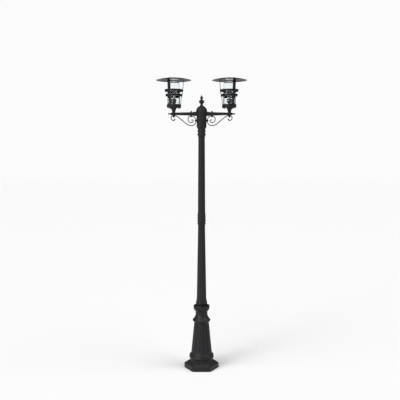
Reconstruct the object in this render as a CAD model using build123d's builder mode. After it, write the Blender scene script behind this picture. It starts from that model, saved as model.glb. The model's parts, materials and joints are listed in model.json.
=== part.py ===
from build123d import *
from math import asin, atan2, cos, degrees, pi, radians, sin, sqrt
import os

# Twin-lantern garden lamp post: cast sections stacked on a tie rod, two arms with scroll
# brackets, two lanterns. Millimetres, +Z up, origin at the centre of the plinth's underside,
# lanterns along X, front towards -Y. Levels are heights above the ground.

os.makedirs("parts", exist_ok=True)

# ---- heights of the stacked pole sections, from the ground up
plinth_side_height = 38.0
plinth_slope_height = 26.0
plinth_drum_height = 6.0
pedestal_height = 318.0
crown_height = 141.0
crown_seat_depth = 23.0
lower_shaft_height = 686.0
mid_collar_height = 108.0
upper_shaft_height = 617.0
neck_collar_height = 80.0
hub_height = 133.0
dome_height = 46.0
finial_height = 90.0

# ---- plinth and its anchor holes
plinth_corner_radius = 145.0
plinth_corner_fillet = 10.0
plinth_wall = 8.0
plinth_floor = 10.0
plinth_floor_opening = 84.0
plinth_opening_fillet = 16.0
plinth_drum_radius = 96.0
plinth_shoulder = 6.0
anchor_circle_radius = 65.0
anchor_hole_radius = 6.0
spigot_height = 12.0
spigot_wall = 7.0

# ---- pedestal and crown
pedestal_foot_radius = 95.0
pedestal_body_radius = 85.5
pedestal_top_radius = 61.0
pedestal_foot_height = 64.0
pedestal_wall = 9.0
pedestal_web = 10.0
pedestal_flutes = 16
pedestal_flute_turn = 16.25
flute_share = 0.74
flute_depth_share = 0.055
flute_margin = 20.0
crown_neck_radius = 48.5
crown_flange_radius = 73.0
crown_rim_radius = 65.0
crown_bulge_radius = 67.0
crown_wall = 5.0
crown_leaves = 10
leaf_groove_radius = 3.0
crown_spigot_height = 12.0

# ---- shafts and their collars
shaft_foot_radius = 47.0
shaft_foot_height = 78.0
lower_shaft_bottom_radius = 41.0
lower_shaft_top_radius = 29.5
upper_shaft_bottom_radius = 31.5
upper_shaft_top_radius = 27.5
lower_shaft_turn = -7.0
shaft_lobes = 8
shaft_lobe_share = 0.08
shaft_wall = 3.6
socket_depth = 30.0
collar_ring_proud = 6.5
collar_bulge_proud = 5.6
neck_ring_radius = 36.0
neck_body_radius = 31.5
neck_flare_radius = 34.5
spigot_bore_wall = 3.2

# ---- hub, dome cap and finial
hub_bottom_radius = 41.0
hub_top_radius = 43.0
hub_wall = 6.0
hub_floor = 6.0
hub_edge = 5.0
hub_lobe_share = 0.06
hub_socket_radius = 25.0
dome_rim_radius = 46.0
dome_wall = 4.0
dome_top_radius = 14.0
dome_spigot_height = 5.0
finial_ball_radius = 21.5
finial_base_radius = 14.0
finial_bore_depth = 28.0

# ---- clearances
socket_clearance = 0.3
thread_clearance = 0.1
hole_clearance = 0.3
hat_gap = 0.8

# ---- tie rod, screws and wiring
rod_radius = 6.0
rod_nut_across_flats = 19.0
rod_nut_height = 10.0
set_screw_radius = 4.0
cable_radius = 2.5
cable_riser_offset = 12.5
cable_turn_radius = 16.0
cable_elbow_radius = 6.0
cable_sweep_radius = 150.0
terminal_block_length = 40.0
terminal_block_width = 20.0
terminal_block_height = 14.0
terminal_block_offset = 36.0

# ---- arms
arm_height_in_hub = 115.0
lantern_reach = 227.0
arm_root_radius = 14.5
arm_end_radius = 10.0
arm_end_length = 24.0
arm_flange_radius = 17.5
arm_flange_length = 19.0
arm_tip_radius = 5.5
arm_overhang = 47.0
arm_bore_radius = 4.5
arm_spigot_radius = 9.0
arm_nut_across_flats = 22.0
arm_nut_height = 6.0
hub_pad_proud = 4.0
arm_boss_radius = 13.0
arm_boss_height = 22.0
arm_collar_offset = 38.0
arm_collar_width = 12.0
arm_collar_wall = 3.5
collar_spike_height = 6.5

# ---- scroll brackets: a round rod bent in arcs between the hub, the arm and the lantern
scroll_rod_radius = 3.5
scroll_drop = 54.0
scroll_eye_radius = 9.0
scroll_eye_thickness = 8.0
scroll_seat_radius = 16.0
scroll_seat_proud = 1.0
scroll_screw_head_radius = 6.0
scroll_screw_head_height = 4.5
inner_curl_radii = (22.5, 27.0, 15.0)
inner_curl_drop = 4.0
inner_curl_end_radius = 7.5
inner_curl_end_turn = 125.0
belly_radius = 37.0
belly_tightness = 0.71
belly_split = 0.59
outer_curl_lead = 4.0
outer_curl_radii = (18.0, 21.5, 8.0)
inner_ball_radius = 4.6
outer_ball_radius = 5.8
lantern_eye_radius = 11.0
lantern_eye_lip = 1.0

# ---- lantern stem, cup and lamp
stem_height = 37.0
stem_bottom_radius = 13.0
stem_top_radius = 23.5
stem_wall = 2.5
tube_radius = 6.0
tube_bore_radius = 4.0
tube_window_radius = 3.2
stem_nut_radius = 9.0
stem_nut_height = 11.5
cup_radius = 56.0
cup_height = 29.0
cup_wall = 2.5
cup_floor = 3.0
cup_edge_radius = 8.0
cup_nut_across_flats = 19.0
cup_nut_height = 6.0
gasket_height = 2.5
gasket_overlap = 1.5
jar_radius = 50.0
jar_wall = 3.0
jar_height = 208.5
jar_shoulder_radius = 28.0
holder_level = 40.0
holder_height = 36.0
holder_radius = 22.0
holder_neck_radius = 17.0
holder_floor = 12.0
contact_wall = 0.8
contact_gap = 0.5
cap_radius = 13.2
cap_height = 26.0
cap_clearance = 0.8
thread_pitch = 3.6
thread_depth = 0.8
thread_ridges = 4
bulb_radius = 30.0
bulb_neck_radius = 12.4
bulb_length = 74.0
bulb_glass = 1.0

# ---- lantern cage and hat
strut_count = 3
strut_width = 17.5
strut_thickness = 4.0
strut_foot_length = 21.0
strut_tab_length = 18.5
strut_top_radius = 78.5
band_height = 18.0
band_thickness = 3.0
lower_band_radius = 66.0
lower_band_level = 103.0
upper_band_radius = 73.0
upper_band_level = 140.5
rivet_radius = 2.5
rivet_head_radius = 4.5
rivet_head_height = 1.5
screw_radius = 2.5
screw_head_radius = 4.5
screw_head_height = 3.0
hat_radius = 142.0
hat_rise = 19.0
hat_sheet = 1.5
hat_lip = 2.5
hat_level = 224.0
hat_screw_circle = 66.0
shield_radius = 40.0
shield_sheet = 2.0
shield_boss_radius = 7.0
shield_drop = 10.0

# ---- levels that follow from the heights
plinth_slope_top = plinth_side_height + plinth_slope_height
plinth_top = plinth_slope_top + plinth_drum_height
pedestal_top = plinth_top + pedestal_height
crown_top = pedestal_top + crown_height
lower_shaft_foot = crown_top - crown_seat_depth
lower_shaft_top = lower_shaft_foot + lower_shaft_height
mid_collar_top = lower_shaft_top + mid_collar_height
upper_shaft_top = mid_collar_top + upper_shaft_height
hub_bottom = upper_shaft_top + neck_collar_height
hub_top = hub_bottom + hub_height
dome_top = hub_top + dome_height
finial_top = dome_top + finial_height
web_level = plinth_top + spigot_height + 2
arm_level = hub_bottom + arm_height_in_hub
scroll_level = arm_level - scroll_drop
cup_level = arm_level + arm_boss_height / 2 + stem_height
jar_level = cup_level + cup_floor + gasket_height
holder_bottom = cup_level + holder_level
hat_rim = cup_level + hat_level
hat_top = hat_rim + hat_rise

# ---- radii and places that follow from the sizes
pedestal_socket_radius = pedestal_foot_radius - plinth_wall
crown_socket_radius = pedestal_top_radius - pedestal_wall
shaft_socket_radius = crown_neck_radius - 2 * crown_wall
lower_socket_radius = lower_shaft_top_radius * (1 - shaft_lobe_share) - shaft_wall
middle_socket_radius = upper_shaft_bottom_radius * (1 - shaft_lobe_share) - shaft_wall
upper_socket_radius = upper_shaft_top_radius * (1 - shaft_lobe_share) - shaft_wall
hub_cavity_apothem = hub_bottom_radius * (1 - hub_lobe_share) - hub_wall
dome_socket_radius = hub_cavity_apothem / cos(pi / 8) + 1.0
hub_pad_face = hub_top_radius + hub_pad_proud
arm_flange_face = hub_pad_face + arm_flange_length
arm_inner_end = hub_cavity_apothem - arm_nut_height - 1
arm_taper_end = lantern_reach + arm_boss_radius
arm_collar_middle = hub_pad_face + arm_collar_offset
scroll_face = (hub_bottom_radius + hub_top_radius) / 2 + scroll_seat_proud
scroll_rod_x = scroll_face + scroll_rod_radius
lantern_eye_level = arm_level - arm_boss_height / 2 - scroll_rod_radius
lantern_eye_bottom = lantern_eye_level - scroll_rod_radius - lantern_eye_lip
hat_arc_radius = (hat_radius**2 + hat_rise**2) / (2 * hat_rise)


def outline(start, *moves):
    """Closed profile: two numbers are a straight run's end, four an arc's middle and end."""
    with BuildLine() as profile:
        here = start
        for move in moves:
            if len(move) == 2:
                Line(here, move)
            else:
                ThreePointArc(here, move[:2], move[2:])
            here = move[-2:]
        Line(here, start)
    make_face(profile.edges())


def lobed_outline(radius, share, turn=0.0):
    """Ring of convex lobes with narrow valleys between them."""
    pitch = 360 / shaft_lobes
    with BuildLine() as profile:
        for n in range(shaft_lobes):
            low, middle, high = (radians(turn - 90 + (n + step) * pitch) for step in (0, 0.5, 1))
            valley = radius * (1 - share)
            ThreePointArc(
                (valley * cos(low), valley * sin(low)),
                (radius * cos(middle), radius * sin(middle)),
                (valley * cos(high), valley * sin(high)),
            )
    make_face(profile.edges())


def hex_nut(across_flats, height, bore_radius):
    """Plain hexagon nut standing on the ground plane."""
    with BuildPart() as nut:
        with BuildSketch():
            RegularPolygon(across_flats / 2, 6, major_radius=False)
            Circle(bore_radius, mode=Mode.SUBTRACT)
        extrude(amount=height)
        chamfer(nut.edges().filter_by(GeomType.CIRCLE), 0.4)
    return nut.part


def arm_radius_at(distance):
    """Radius of the tapered arm, distance from the pole's axis."""
    share = (distance - arm_flange_face) / (arm_taper_end - arm_flange_face)
    return arm_root_radius + share * (arm_end_radius - arm_root_radius)


def hat_under(radius):
    """Level of the hat's underside at a radius."""
    return hat_top - hat_arc_radius + sqrt((hat_arc_radius - hat_sheet) ** 2 - radius**2)


pole_pieces = {}
side_pieces = {}
lantern_pieces = {}

# =====================================================================  plinth
slope_steps = ((0.0, 0.0), (0.54, 0.45), (1.0, 1.0))
slope_inset = plinth_corner_radius - plinth_drum_radius - plinth_shoulder
spigot_radius = pedestal_socket_radius - socket_clearance
set_screw_level = plinth_top + spigot_height / 2

with BuildPart() as plinth:
    with BuildSketch():
        RegularPolygon(plinth_corner_radius, 6)
        fillet(vertices(), plinth_corner_fillet)
    extrude(amount=plinth_side_height)
    for rise, inset in slope_steps:
        with BuildSketch(Plane.XY.offset(plinth_side_height + rise * plinth_slope_height)):
            RegularPolygon(plinth_corner_radius - inset * slope_inset, 6)
            fillet(vertices(), plinth_corner_fillet)
    loft(ruled=True)
    with BuildSketch(Plane.XY.offset(plinth_side_height)):
        Circle(plinth_drum_radius)
    extrude(amount=plinth_top - plinth_side_height)
    with BuildSketch(Plane.XY.offset(plinth_side_height)):
        Circle(spigot_radius)
    extrude(amount=plinth_top - plinth_side_height + spigot_height)
    with BuildSketch(Plane.XY.offset(plinth_floor)):
        Circle(spigot_radius - spigot_wall)
    extrude(amount=plinth_top + spigot_height, mode=Mode.SUBTRACT)
    with BuildSketch(Plane.XY.offset(plinth_floor)):
        RegularPolygon(plinth_corner_radius - plinth_wall / cos(pi / 6), 6)
    extrude(amount=plinth_side_height - plinth_floor - plinth_wall, mode=Mode.SUBTRACT)
    with BuildSketch():
        RectangleRounded(plinth_floor_opening, plinth_floor_opening, plinth_opening_fillet)
        with PolarLocations(anchor_circle_radius, 3, start_angle=90):
            Circle(anchor_hole_radius)
    extrude(amount=plinth_floor, mode=Mode.SUBTRACT)
    with PolarLocations(pedestal_socket_radius, 3, start_angle=90):
        with Locations(Location((0, 0, set_screw_level), (0, 90, 0))):
            Cylinder(set_screw_radius + thread_clearance, 4 * spigot_wall, mode=Mode.SUBTRACT)
pole_pieces["plinth"] = plinth

# ===================================================================  pedestal
flute_bottom = pedestal_foot_height + flute_margin
flute_top = pedestal_height - flute_margin


def body_radius_at(height):
    """Outer radius of the pedestal's tapered body, height counted from its foot."""
    share = (height - pedestal_foot_height) / (pedestal_height - pedestal_foot_height)
    return pedestal_body_radius + share * (pedestal_top_radius - pedestal_body_radius)


def flute_cutter_at(height):
    """Radius of the round flute cutter at a height, and where its axis passes."""
    wall = body_radius_at(height)
    half_width = flute_share * wall * sin(pi / pedestal_flutes)
    depth = flute_depth_share * wall
    cutter = (half_width**2 + depth**2) / (2 * depth)
    return cutter, Vector(wall + cutter - depth, 0, plinth_top + height)


low_cutter, low_axis = flute_cutter_at(flute_bottom)
high_cutter, high_axis = flute_cutter_at(flute_top)
flute_run = (high_axis - low_axis).length
flute_plane = Plane(
    origin=low_axis, x_dir=(0, 1, 0), z_dir=Vector(0, 1, 0).cross(high_axis - low_axis)
)

with BuildPart() as flute_cutter:
    with BuildSketch(flute_plane):
        with BuildLine():
            CenterArc((0, 0), low_cutter, -90, 90)
            Line((low_cutter, 0), (high_cutter, flute_run))
            CenterArc((0, flute_run), high_cutter, 0, 90)
            Line((0, flute_run + high_cutter), (0, -low_cutter))
        make_face()
    revolve(axis=Axis(low_axis, high_axis - low_axis))

with BuildPart() as pedestal:
    with BuildSketch(Plane.XZ):
        foot, body = pedestal_foot_radius, pedestal_body_radius
        outline(
            (0, plinth_top),
            (foot, plinth_top),
            (foot, plinth_top + 9),
            (foot + 4, plinth_top + 14),
            (foot + 8, plinth_top + 26, foot + 4.5, plinth_top + 38),
            (foot + 2.5, plinth_top + 40),
            (foot + 4, plinth_top + 44.5, foot + 1, plinth_top + 49),
            (body + 3.5, plinth_top + 54.5, body, plinth_top + pedestal_foot_height),
            (pedestal_top_radius, pedestal_top),
            (0, pedestal_top),
        )
    revolve(axis=Axis.Z)
    with BuildSketch(Plane.XY.offset(plinth_top)):
        Circle(pedestal_socket_radius)
    extrude(amount=web_level - plinth_top, mode=Mode.SUBTRACT)
    with BuildSketch(Plane.XZ):
        outline(
            (0, web_level + pedestal_web),
            (body - pedestal_wall, web_level + pedestal_web),
            (body - pedestal_wall, plinth_top + pedestal_foot_height),
            (crown_socket_radius, pedestal_top - crown_spigot_height),
            (crown_socket_radius, pedestal_top),
            (0, pedestal_top),
        )
    revolve(axis=Axis.Z, mode=Mode.SUBTRACT)
    with BuildSketch(Plane.XY.offset(web_level)):
        Circle(rod_radius + hole_clearance)
        with GridLocations(2 * terminal_block_length, 2 * terminal_block_offset, 2, 2):
            Circle(cable_radius + 2)
    extrude(amount=pedestal_web, mode=Mode.SUBTRACT)
    with PolarLocations(pedestal_socket_radius, 3, start_angle=90):
        with Locations(Location((0, 0, set_screw_level), (0, 90, 0))):
            Cylinder(set_screw_radius + thread_clearance, 4 * spigot_wall, mode=Mode.SUBTRACT)
    for n in range(pedestal_flutes):
        add(
            flute_cutter.part,
            rotation=(0, 0, pedestal_flute_turn + n * 360 / pedestal_flutes),
            mode=Mode.SUBTRACT,
        )
pole_pieces["pedestal"] = pedestal

with BuildPart() as pedestal_set_screws:
    with PolarLocations(pedestal_foot_radius - 2, 3, start_angle=90):
        with Locations(Location((0, 0, set_screw_level), (0, 90, 0))):
            inwards = (Align.CENTER, Align.CENTER, Align.MAX)
            Cylinder(set_screw_radius, plinth_wall + spigot_wall, align=inwards)
            Cylinder(set_screw_radius / 2, set_screw_radius, align=inwards, mode=Mode.SUBTRACT)
pole_pieces["pedestal_set_screws"] = pedestal_set_screws

# ======================================================================  crown
cup_foot = pedestal_top + 80
cup_waist = pedestal_top + 102
cup_belly = pedestal_top + 122
crown_cup_arcs = (
    (crown_neck_radius + 3, cup_foot + 12, crown_bulge_radius - 7, cup_waist),
    (crown_bulge_radius, cup_belly, crown_rim_radius, crown_top),
)

with BuildPart() as leaf_groove:
    with BuildLine(Plane.XZ) as groove_line:
        low_arc = ThreePointArc(
            (crown_neck_radius, cup_foot), crown_cup_arcs[0][:2], crown_cup_arcs[0][2:]
        )
        ThreePointArc(low_arc @ 1, crown_cup_arcs[1][:2], crown_cup_arcs[1][2:])
    with BuildSketch(Plane(origin=groove_line.line @ 0, z_dir=groove_line.line % 0)):
        Circle(leaf_groove_radius)
    sweep(transition=Transition.RIGHT)

with BuildPart() as pedestal_crown:
    with BuildSketch(Plane.XZ):
        outline(
            (0, pedestal_top),
            (pedestal_top_radius, pedestal_top),
            (crown_flange_radius - 4, pedestal_top + 7, crown_flange_radius, pedestal_top + 13),
            (crown_flange_radius + 1, pedestal_top + 17.5, crown_flange_radius - 1, pedestal_top + 22),
            (crown_flange_radius - 3, pedestal_top + 24),
            (crown_neck_radius + 7, pedestal_top + 46, crown_neck_radius, pedestal_top + 73),
            (crown_neck_radius, cup_foot),
            crown_cup_arcs[0],
            crown_cup_arcs[1],
            (0, crown_top),
        )
    revolve(axis=Axis.Z)
    with BuildSketch(Plane.XZ):
        outline(
            (0, lower_shaft_foot),
            (shaft_foot_radius, lower_shaft_foot),
            (crown_rim_radius - 5, crown_top - 8, crown_rim_radius - 4, crown_top),
            (0, crown_top),
        )
    revolve(axis=Axis.Z, mode=Mode.SUBTRACT)
    with BuildSketch(Plane.XY.offset(lower_shaft_foot - socket_depth)):
        Circle(shaft_socket_radius)
    extrude(amount=socket_depth, mode=Mode.SUBTRACT)
    with BuildSketch(Plane.XY.offset(pedestal_top - crown_spigot_height)):
        Circle(crown_socket_radius - socket_clearance)
    extrude(amount=crown_spigot_height)
    with BuildSketch(Plane.XZ):
        outline(
            (0, pedestal_top - crown_spigot_height),
            (crown_socket_radius - crown_wall, pedestal_top - crown_spigot_height),
            (shaft_socket_radius - crown_wall, cup_foot - 20),
            (shaft_socket_radius - crown_wall, lower_shaft_foot - socket_depth),
            (0, lower_shaft_foot - socket_depth),
        )
    revolve(axis=Axis.Z, mode=Mode.SUBTRACT)
    for n in range(crown_leaves):
        add(
            leaf_groove.part,
            rotation=(0, 0, (n + 0.5) * 360 / crown_leaves - 90),
            mode=Mode.SUBTRACT,
        )
pole_pieces["pedestal_crown"] = pedestal_crown

# =====================================================================  shafts
foot_ring_low = lower_shaft_foot + 33
foot_ring_middle = lower_shaft_foot + 48
foot_ring_high = lower_shaft_foot + 62
foot_top = lower_shaft_foot + shaft_foot_height
shaft_spigot_radius = shaft_socket_radius - socket_clearance

with BuildPart() as lower_shaft:
    with BuildSketch(Plane.XZ):
        outline(
            (0, lower_shaft_foot),
            (shaft_foot_radius - 5, lower_shaft_foot),
            (shaft_foot_radius - 5, foot_ring_low),
            (shaft_foot_radius, foot_ring_low + 8, shaft_foot_radius - 4, foot_ring_middle),
            (shaft_foot_radius, foot_ring_middle + 7, shaft_foot_radius - 4.5, foot_ring_high),
            (
                lower_shaft_bottom_radius + 1,
                foot_ring_high + 5,
                lower_shaft_bottom_radius + 0.2,
                foot_top,
            ),
            (0, foot_top),
        )
    revolve(axis=Axis.Z)
    with BuildSketch(Plane.XY.offset(foot_ring_high)):
        lobed_outline(lower_shaft_bottom_radius, shaft_lobe_share, lower_shaft_turn)
    with BuildSketch(Plane.XY.offset(lower_shaft_top)):
        lobed_outline(lower_shaft_top_radius, shaft_lobe_share, lower_shaft_turn)
    loft(ruled=True)
    with BuildSketch(Plane.XY.offset(lower_shaft_foot - socket_depth)):
        Circle(shaft_spigot_radius)
    extrude(amount=socket_depth)
    with BuildSketch(Plane.XZ):
        outline(
            (0, lower_shaft_foot - socket_depth),
            (shaft_spigot_radius - 2 * shaft_wall, lower_shaft_foot - socket_depth),
            (lower_socket_radius, lower_shaft_top - socket_depth),
            (lower_socket_radius, lower_shaft_top),
            (0, lower_shaft_top),
        )
    revolve(axis=Axis.Z, mode=Mode.SUBTRACT)
pole_pieces["lower_shaft"] = lower_shaft

with BuildPart() as upper_shaft:
    with BuildSketch(Plane.XY.offset(mid_collar_top)):
        lobed_outline(upper_shaft_bottom_radius, shaft_lobe_share)
    with BuildSketch(Plane.XY.offset(upper_shaft_top)):
        lobed_outline(upper_shaft_top_radius, shaft_lobe_share)
    loft(ruled=True)
    with BuildSketch(Plane.XZ):
        outline(
            (0, mid_collar_top),
            (middle_socket_radius, mid_collar_top),
            (middle_socket_radius, mid_collar_top + socket_depth),
            (upper_socket_radius, upper_shaft_top - socket_depth),
            (upper_socket_radius, upper_shaft_top),
            (0, upper_shaft_top),
        )
    revolve(axis=Axis.Z, mode=Mode.SUBTRACT)
pole_pieces["upper_shaft"] = upper_shaft

# ====================================================================  collars
with BuildPart() as mid_collar:
    with BuildSketch(Plane.XZ):
        ring = lower_shaft_top_radius + collar_ring_proud
        bulge = lower_shaft_top_radius + collar_bulge_proud
        waist = lower_shaft_top_radius + 2.5

        def collar_at(share):
            return lower_shaft_top + share * mid_collar_height

        outline(
            (0, lower_shaft_top),
            (lower_shaft_top_radius, lower_shaft_top),
            (lower_shaft_top_radius + 0.7, collar_at(0.08), waist, collar_at(0.155)),
            (ring, collar_at(0.195), waist, collar_at(0.235)),
            (waist, collar_at(0.32)),
            (bulge, collar_at(0.43), waist, collar_at(0.54)),
            (waist, collar_at(0.575)),
            (ring - 0.6, collar_at(0.63), waist, collar_at(0.685)),
            (waist, collar_at(0.765)),
            (ring, collar_at(0.805), waist, collar_at(0.845)),
            (upper_shaft_bottom_radius + 0.7, collar_at(0.92), upper_shaft_bottom_radius, mid_collar_top),
            (0, mid_collar_top),
        )
    revolve(axis=Axis.Z)
    with PolarLocations(bulge + 0.8, shaft_lobes, start_angle=-90):
        with Locations((0, 0, collar_at(0.43))):
            Cylinder(2.4, 0.2 * mid_collar_height, mode=Mode.SUBTRACT)
    with BuildSketch(Plane.XY.offset(lower_shaft_top)):
        Circle(lower_socket_radius - socket_clearance)
    extrude(amount=-socket_depth + 1)
    with BuildSketch(Plane.XY.offset(mid_collar_top)):
        Circle(middle_socket_radius - socket_clearance)
    extrude(amount=socket_depth - 1)
    with BuildSketch(Plane.XY.offset(lower_shaft_top - socket_depth)):
        Circle(min(lower_socket_radius, middle_socket_radius) - spigot_bore_wall)
    extrude(amount=mid_collar_height + 2 * socket_depth, mode=Mode.SUBTRACT)
pole_pieces["mid_collar"] = mid_collar

with BuildPart() as neck_collar:
    with BuildSketch(Plane.XZ):
        start, end = upper_shaft_top_radius, neck_flare_radius

        def neck_at(share):
            return upper_shaft_top + share * neck_collar_height

        outline(
            (0, upper_shaft_top),
            (start, upper_shaft_top),
            (start + 1.2, neck_at(0.14), neck_body_radius, neck_at(0.27)),
            (neck_ring_radius, neck_at(0.345), neck_body_radius - 0.7, neck_at(0.42)),
            (neck_body_radius - 1.5, neck_at(0.49), neck_body_radius - 0.5, neck_at(0.56)),
            (neck_body_radius + 1.2, neck_at(0.69), neck_body_radius - 0.5, neck_at(0.83)),
            (neck_body_radius + 0.4, neck_at(0.91), end, hub_bottom),
            (0, hub_bottom),
        )
    revolve(axis=Axis.Z)
    with BuildSketch(Plane.XY.offset(upper_shaft_top)):
        Circle(upper_socket_radius - socket_clearance)
    extrude(amount=-socket_depth + 1)
    with BuildSketch(Plane.XY.offset(hub_bottom)):
        Circle(hub_socket_radius - socket_clearance)
    extrude(amount=hub_floor)
    with BuildSketch(Plane.XY.offset(upper_shaft_top - socket_depth)):
        Circle(upper_socket_radius - socket_clearance - spigot_bore_wall)
    extrude(amount=neck_collar_height + hub_floor + socket_depth, mode=Mode.SUBTRACT)
pole_pieces["neck_collar"] = neck_collar

# ========================================================================  hub
both_ways = (0, 180)
outwards = (Align.CENTER, Align.CENTER, Align.MAX)

with BuildPart() as hub:
    with BuildSketch(Plane.XY.offset(hub_bottom)):
        lobed_outline(hub_bottom_radius - hub_edge, hub_lobe_share)
    with BuildSketch(Plane.XY.offset(hub_bottom + hub_edge)):
        lobed_outline(hub_bottom_radius, hub_lobe_share)
    with BuildSketch(Plane.XY.offset(hub_top)):
        lobed_outline(hub_top_radius, hub_lobe_share)
    loft(ruled=True)
    with Locations(Location((0, 0, arm_level), (0, 90, 0))):
        Cylinder(arm_flange_radius, 2 * hub_pad_face)
    for turn in both_ways:
        seat = Location((0, 0, scroll_level), (0, 0, turn)) * Location((scroll_face, 0, 0), (0, 90, 0))
        with Locations(seat):
            Cone(scroll_seat_radius, scroll_eye_radius, hub_wall, align=outwards)
    with BuildSketch(Plane.XY.offset(hub_bottom + hub_floor)):
        RegularPolygon(hub_cavity_apothem, 8, major_radius=False, rotation=22.5)
    extrude(amount=hub_height, mode=Mode.SUBTRACT)
    with BuildSketch(Plane.XY.offset(hub_top)):
        Circle(dome_socket_radius)
    extrude(amount=-dome_spigot_height, mode=Mode.SUBTRACT)
    with BuildSketch(Plane.XY.offset(hub_bottom)):
        Circle(hub_socket_radius)
    extrude(amount=hub_floor, mode=Mode.SUBTRACT)
    with Locations(Location((0, 0, arm_level), (0, 90, 0))):
        Cylinder(arm_spigot_radius + thread_clearance, 2 * hub_pad_face, mode=Mode.SUBTRACT)
    with Locations(Location((0, 0, scroll_level), (0, 90, 0))):
        Cylinder(screw_radius + thread_clearance, 2 * hub_pad_face, mode=Mode.SUBTRACT)
pole_pieces["hub"] = hub

# ========================================================  dome cap and finial
with BuildPart() as dome_cap:
    with BuildSketch(Plane.XZ):

        def dome_at(share):
            return hub_top + share * dome_height

        outline(
            (0, hub_top),
            (dome_rim_radius - 3, hub_top),
            (dome_rim_radius, dome_at(0.13), dome_rim_radius - 1.5, dome_at(0.24)),
            (dome_rim_radius * 0.765, dome_at(0.67), dome_top_radius, dome_top),
            (0, dome_top),
        )
    revolve(axis=Axis.Z)
    with BuildSketch(Plane.XZ):
        bore = dome_socket_radius - socket_clearance - dome_wall
        outline((0, hub_top), (bore, hub_top), (bore * 0.8, dome_at(0.58), 0, dome_at(0.86)))
    revolve(axis=Axis.Z, mode=Mode.SUBTRACT)
    with BuildSketch(Plane.XY.offset(hub_top)):
        Circle(dome_socket_radius - socket_clearance)
        Circle(bore, mode=Mode.SUBTRACT)
    extrude(amount=-dome_spigot_height)
    with BuildSketch(Plane.XY.offset(hub_top)):
        Circle(rod_radius + hole_clearance)
    extrude(amount=dome_height, mode=Mode.SUBTRACT)
pole_pieces["dome_cap"] = dome_cap

with BuildPart() as finial:
    with BuildSketch(Plane.XZ):

        def finial_at(share):
            return dome_top + share * finial_height

        ball = finial_ball_radius
        outline(
            (0, dome_top),
            (finial_base_radius, dome_top),
            (0.5 * ball, finial_at(0.09), 0.58 * ball, finial_at(0.21)),
            (ball, finial_at(0.375), 0.42 * ball, finial_at(0.55)),
            (0.32 * ball, finial_at(0.585)),
            (0.54 * ball, finial_at(0.71), 0.33 * ball, finial_at(0.85)),
            (0.14 * ball, finial_at(0.92), 0.03 * ball, finial_top),
            (0, finial_top),
        )
    revolve(axis=Axis.Z)
    with BuildSketch(Plane.XY.offset(dome_top)):
        Circle(rod_radius + thread_clearance)
    extrude(amount=finial_bore_depth, mode=Mode.SUBTRACT)
pole_pieces["finial"] = finial

# =======================================================  tie rod and terminal
with BuildPart() as tie_rod:
    with BuildSketch(Plane.XY.offset(web_level - rod_nut_height - 3)):
        Circle(rod_radius)
    extrude(amount=dome_top + finial_bore_depth - 3 - (web_level - rod_nut_height - 3))
    chamfer(tie_rod.edges(), 0.8)
pole_pieces["tie_rod"] = tie_rod

rod_nut = hex_nut(rod_nut_across_flats, rod_nut_height, rod_radius + thread_clearance)
with BuildPart() as tie_rod_nut:
    with Locations((0, 0, web_level - rod_nut_height)):
        add(rod_nut)
pole_pieces["tie_rod_nut"] = tie_rod_nut

with BuildPart() as terminal_block:
    with BuildSketch(Plane.XY.offset(web_level - terminal_block_height)):
        with Locations((0, -terminal_block_offset)):
            Rectangle(terminal_block_length, terminal_block_width)
            with GridLocations(terminal_block_length / 3, 0, 3, 1):
                Circle(2, mode=Mode.SUBTRACT)
    extrude(amount=terminal_block_height)
pole_pieces["terminal_block"] = terminal_block

# =======================================================================  arms
with BuildPart() as arm:
    with BuildSketch(Plane.XZ):
        tip = lantern_reach + arm_overhang
        shoulder = lantern_reach + arm_end_length
        tip_chamfer = arm_tip_radius * (1 - sin(pi / 4))

        outline(
            (arm_inner_end, arm_level),
            (arm_inner_end, arm_level + arm_spigot_radius),
            (hub_pad_face, arm_level + arm_spigot_radius),
            (hub_pad_face, arm_level + arm_flange_radius - 1.5),
            (hub_pad_face + 1.5, arm_level + arm_flange_radius),
            (arm_flange_face - 2, arm_level + arm_flange_radius),
            (arm_flange_face, arm_level + arm_root_radius + 0.5),
            (arm_flange_face, arm_level + arm_root_radius),
            (arm_taper_end, arm_level + arm_end_radius),
            (shoulder, arm_level + arm_end_radius),
            (shoulder + 2, arm_level + arm_tip_radius + 1.5, shoulder + 6, arm_level + arm_tip_radius),
            (tip - arm_tip_radius, arm_level + arm_tip_radius),
            (tip - tip_chamfer, arm_level + arm_tip_radius - tip_chamfer, tip, arm_level),
        )
    revolve(axis=Axis((0, 0, arm_level), (1, 0, 0)))
    with Locations((lantern_reach, 0, arm_level)):
        Cylinder(arm_boss_radius, arm_boss_height)
        Cylinder(tube_radius + thread_clearance, arm_boss_height, mode=Mode.SUBTRACT)
    with Locations(Location((arm_inner_end, 0, arm_level), (0, 90, 0))):
        Cylinder(
            arm_bore_radius,
            lantern_reach - arm_inner_end,
            align=(Align.CENTER, Align.CENTER, Align.MIN),
            mode=Mode.SUBTRACT,
        )
side_pieces["arm"] = arm

arm_nut = hex_nut(arm_nut_across_flats, arm_nut_height, arm_spigot_radius + thread_clearance)
with BuildPart() as arm_nuts:
    for turn in both_ways:
        with Locations(
            Location((0, 0, arm_level), (0, 0, turn))
            * Location((hub_cavity_apothem - arm_nut_height, 0, 0), (0, 90, 0))
        ):
            add(arm_nut)
pole_pieces["arm_nuts"] = arm_nuts

# ===============================================================  arm collars
arm_hole_radius = arm_radius_at(arm_collar_middle - arm_collar_width / 2) + thread_clearance
scroll_top_level = (
    arm_level - arm_radius_at(arm_collar_middle - arm_collar_width / 2) - scroll_rod_radius - 0.2
)

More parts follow.
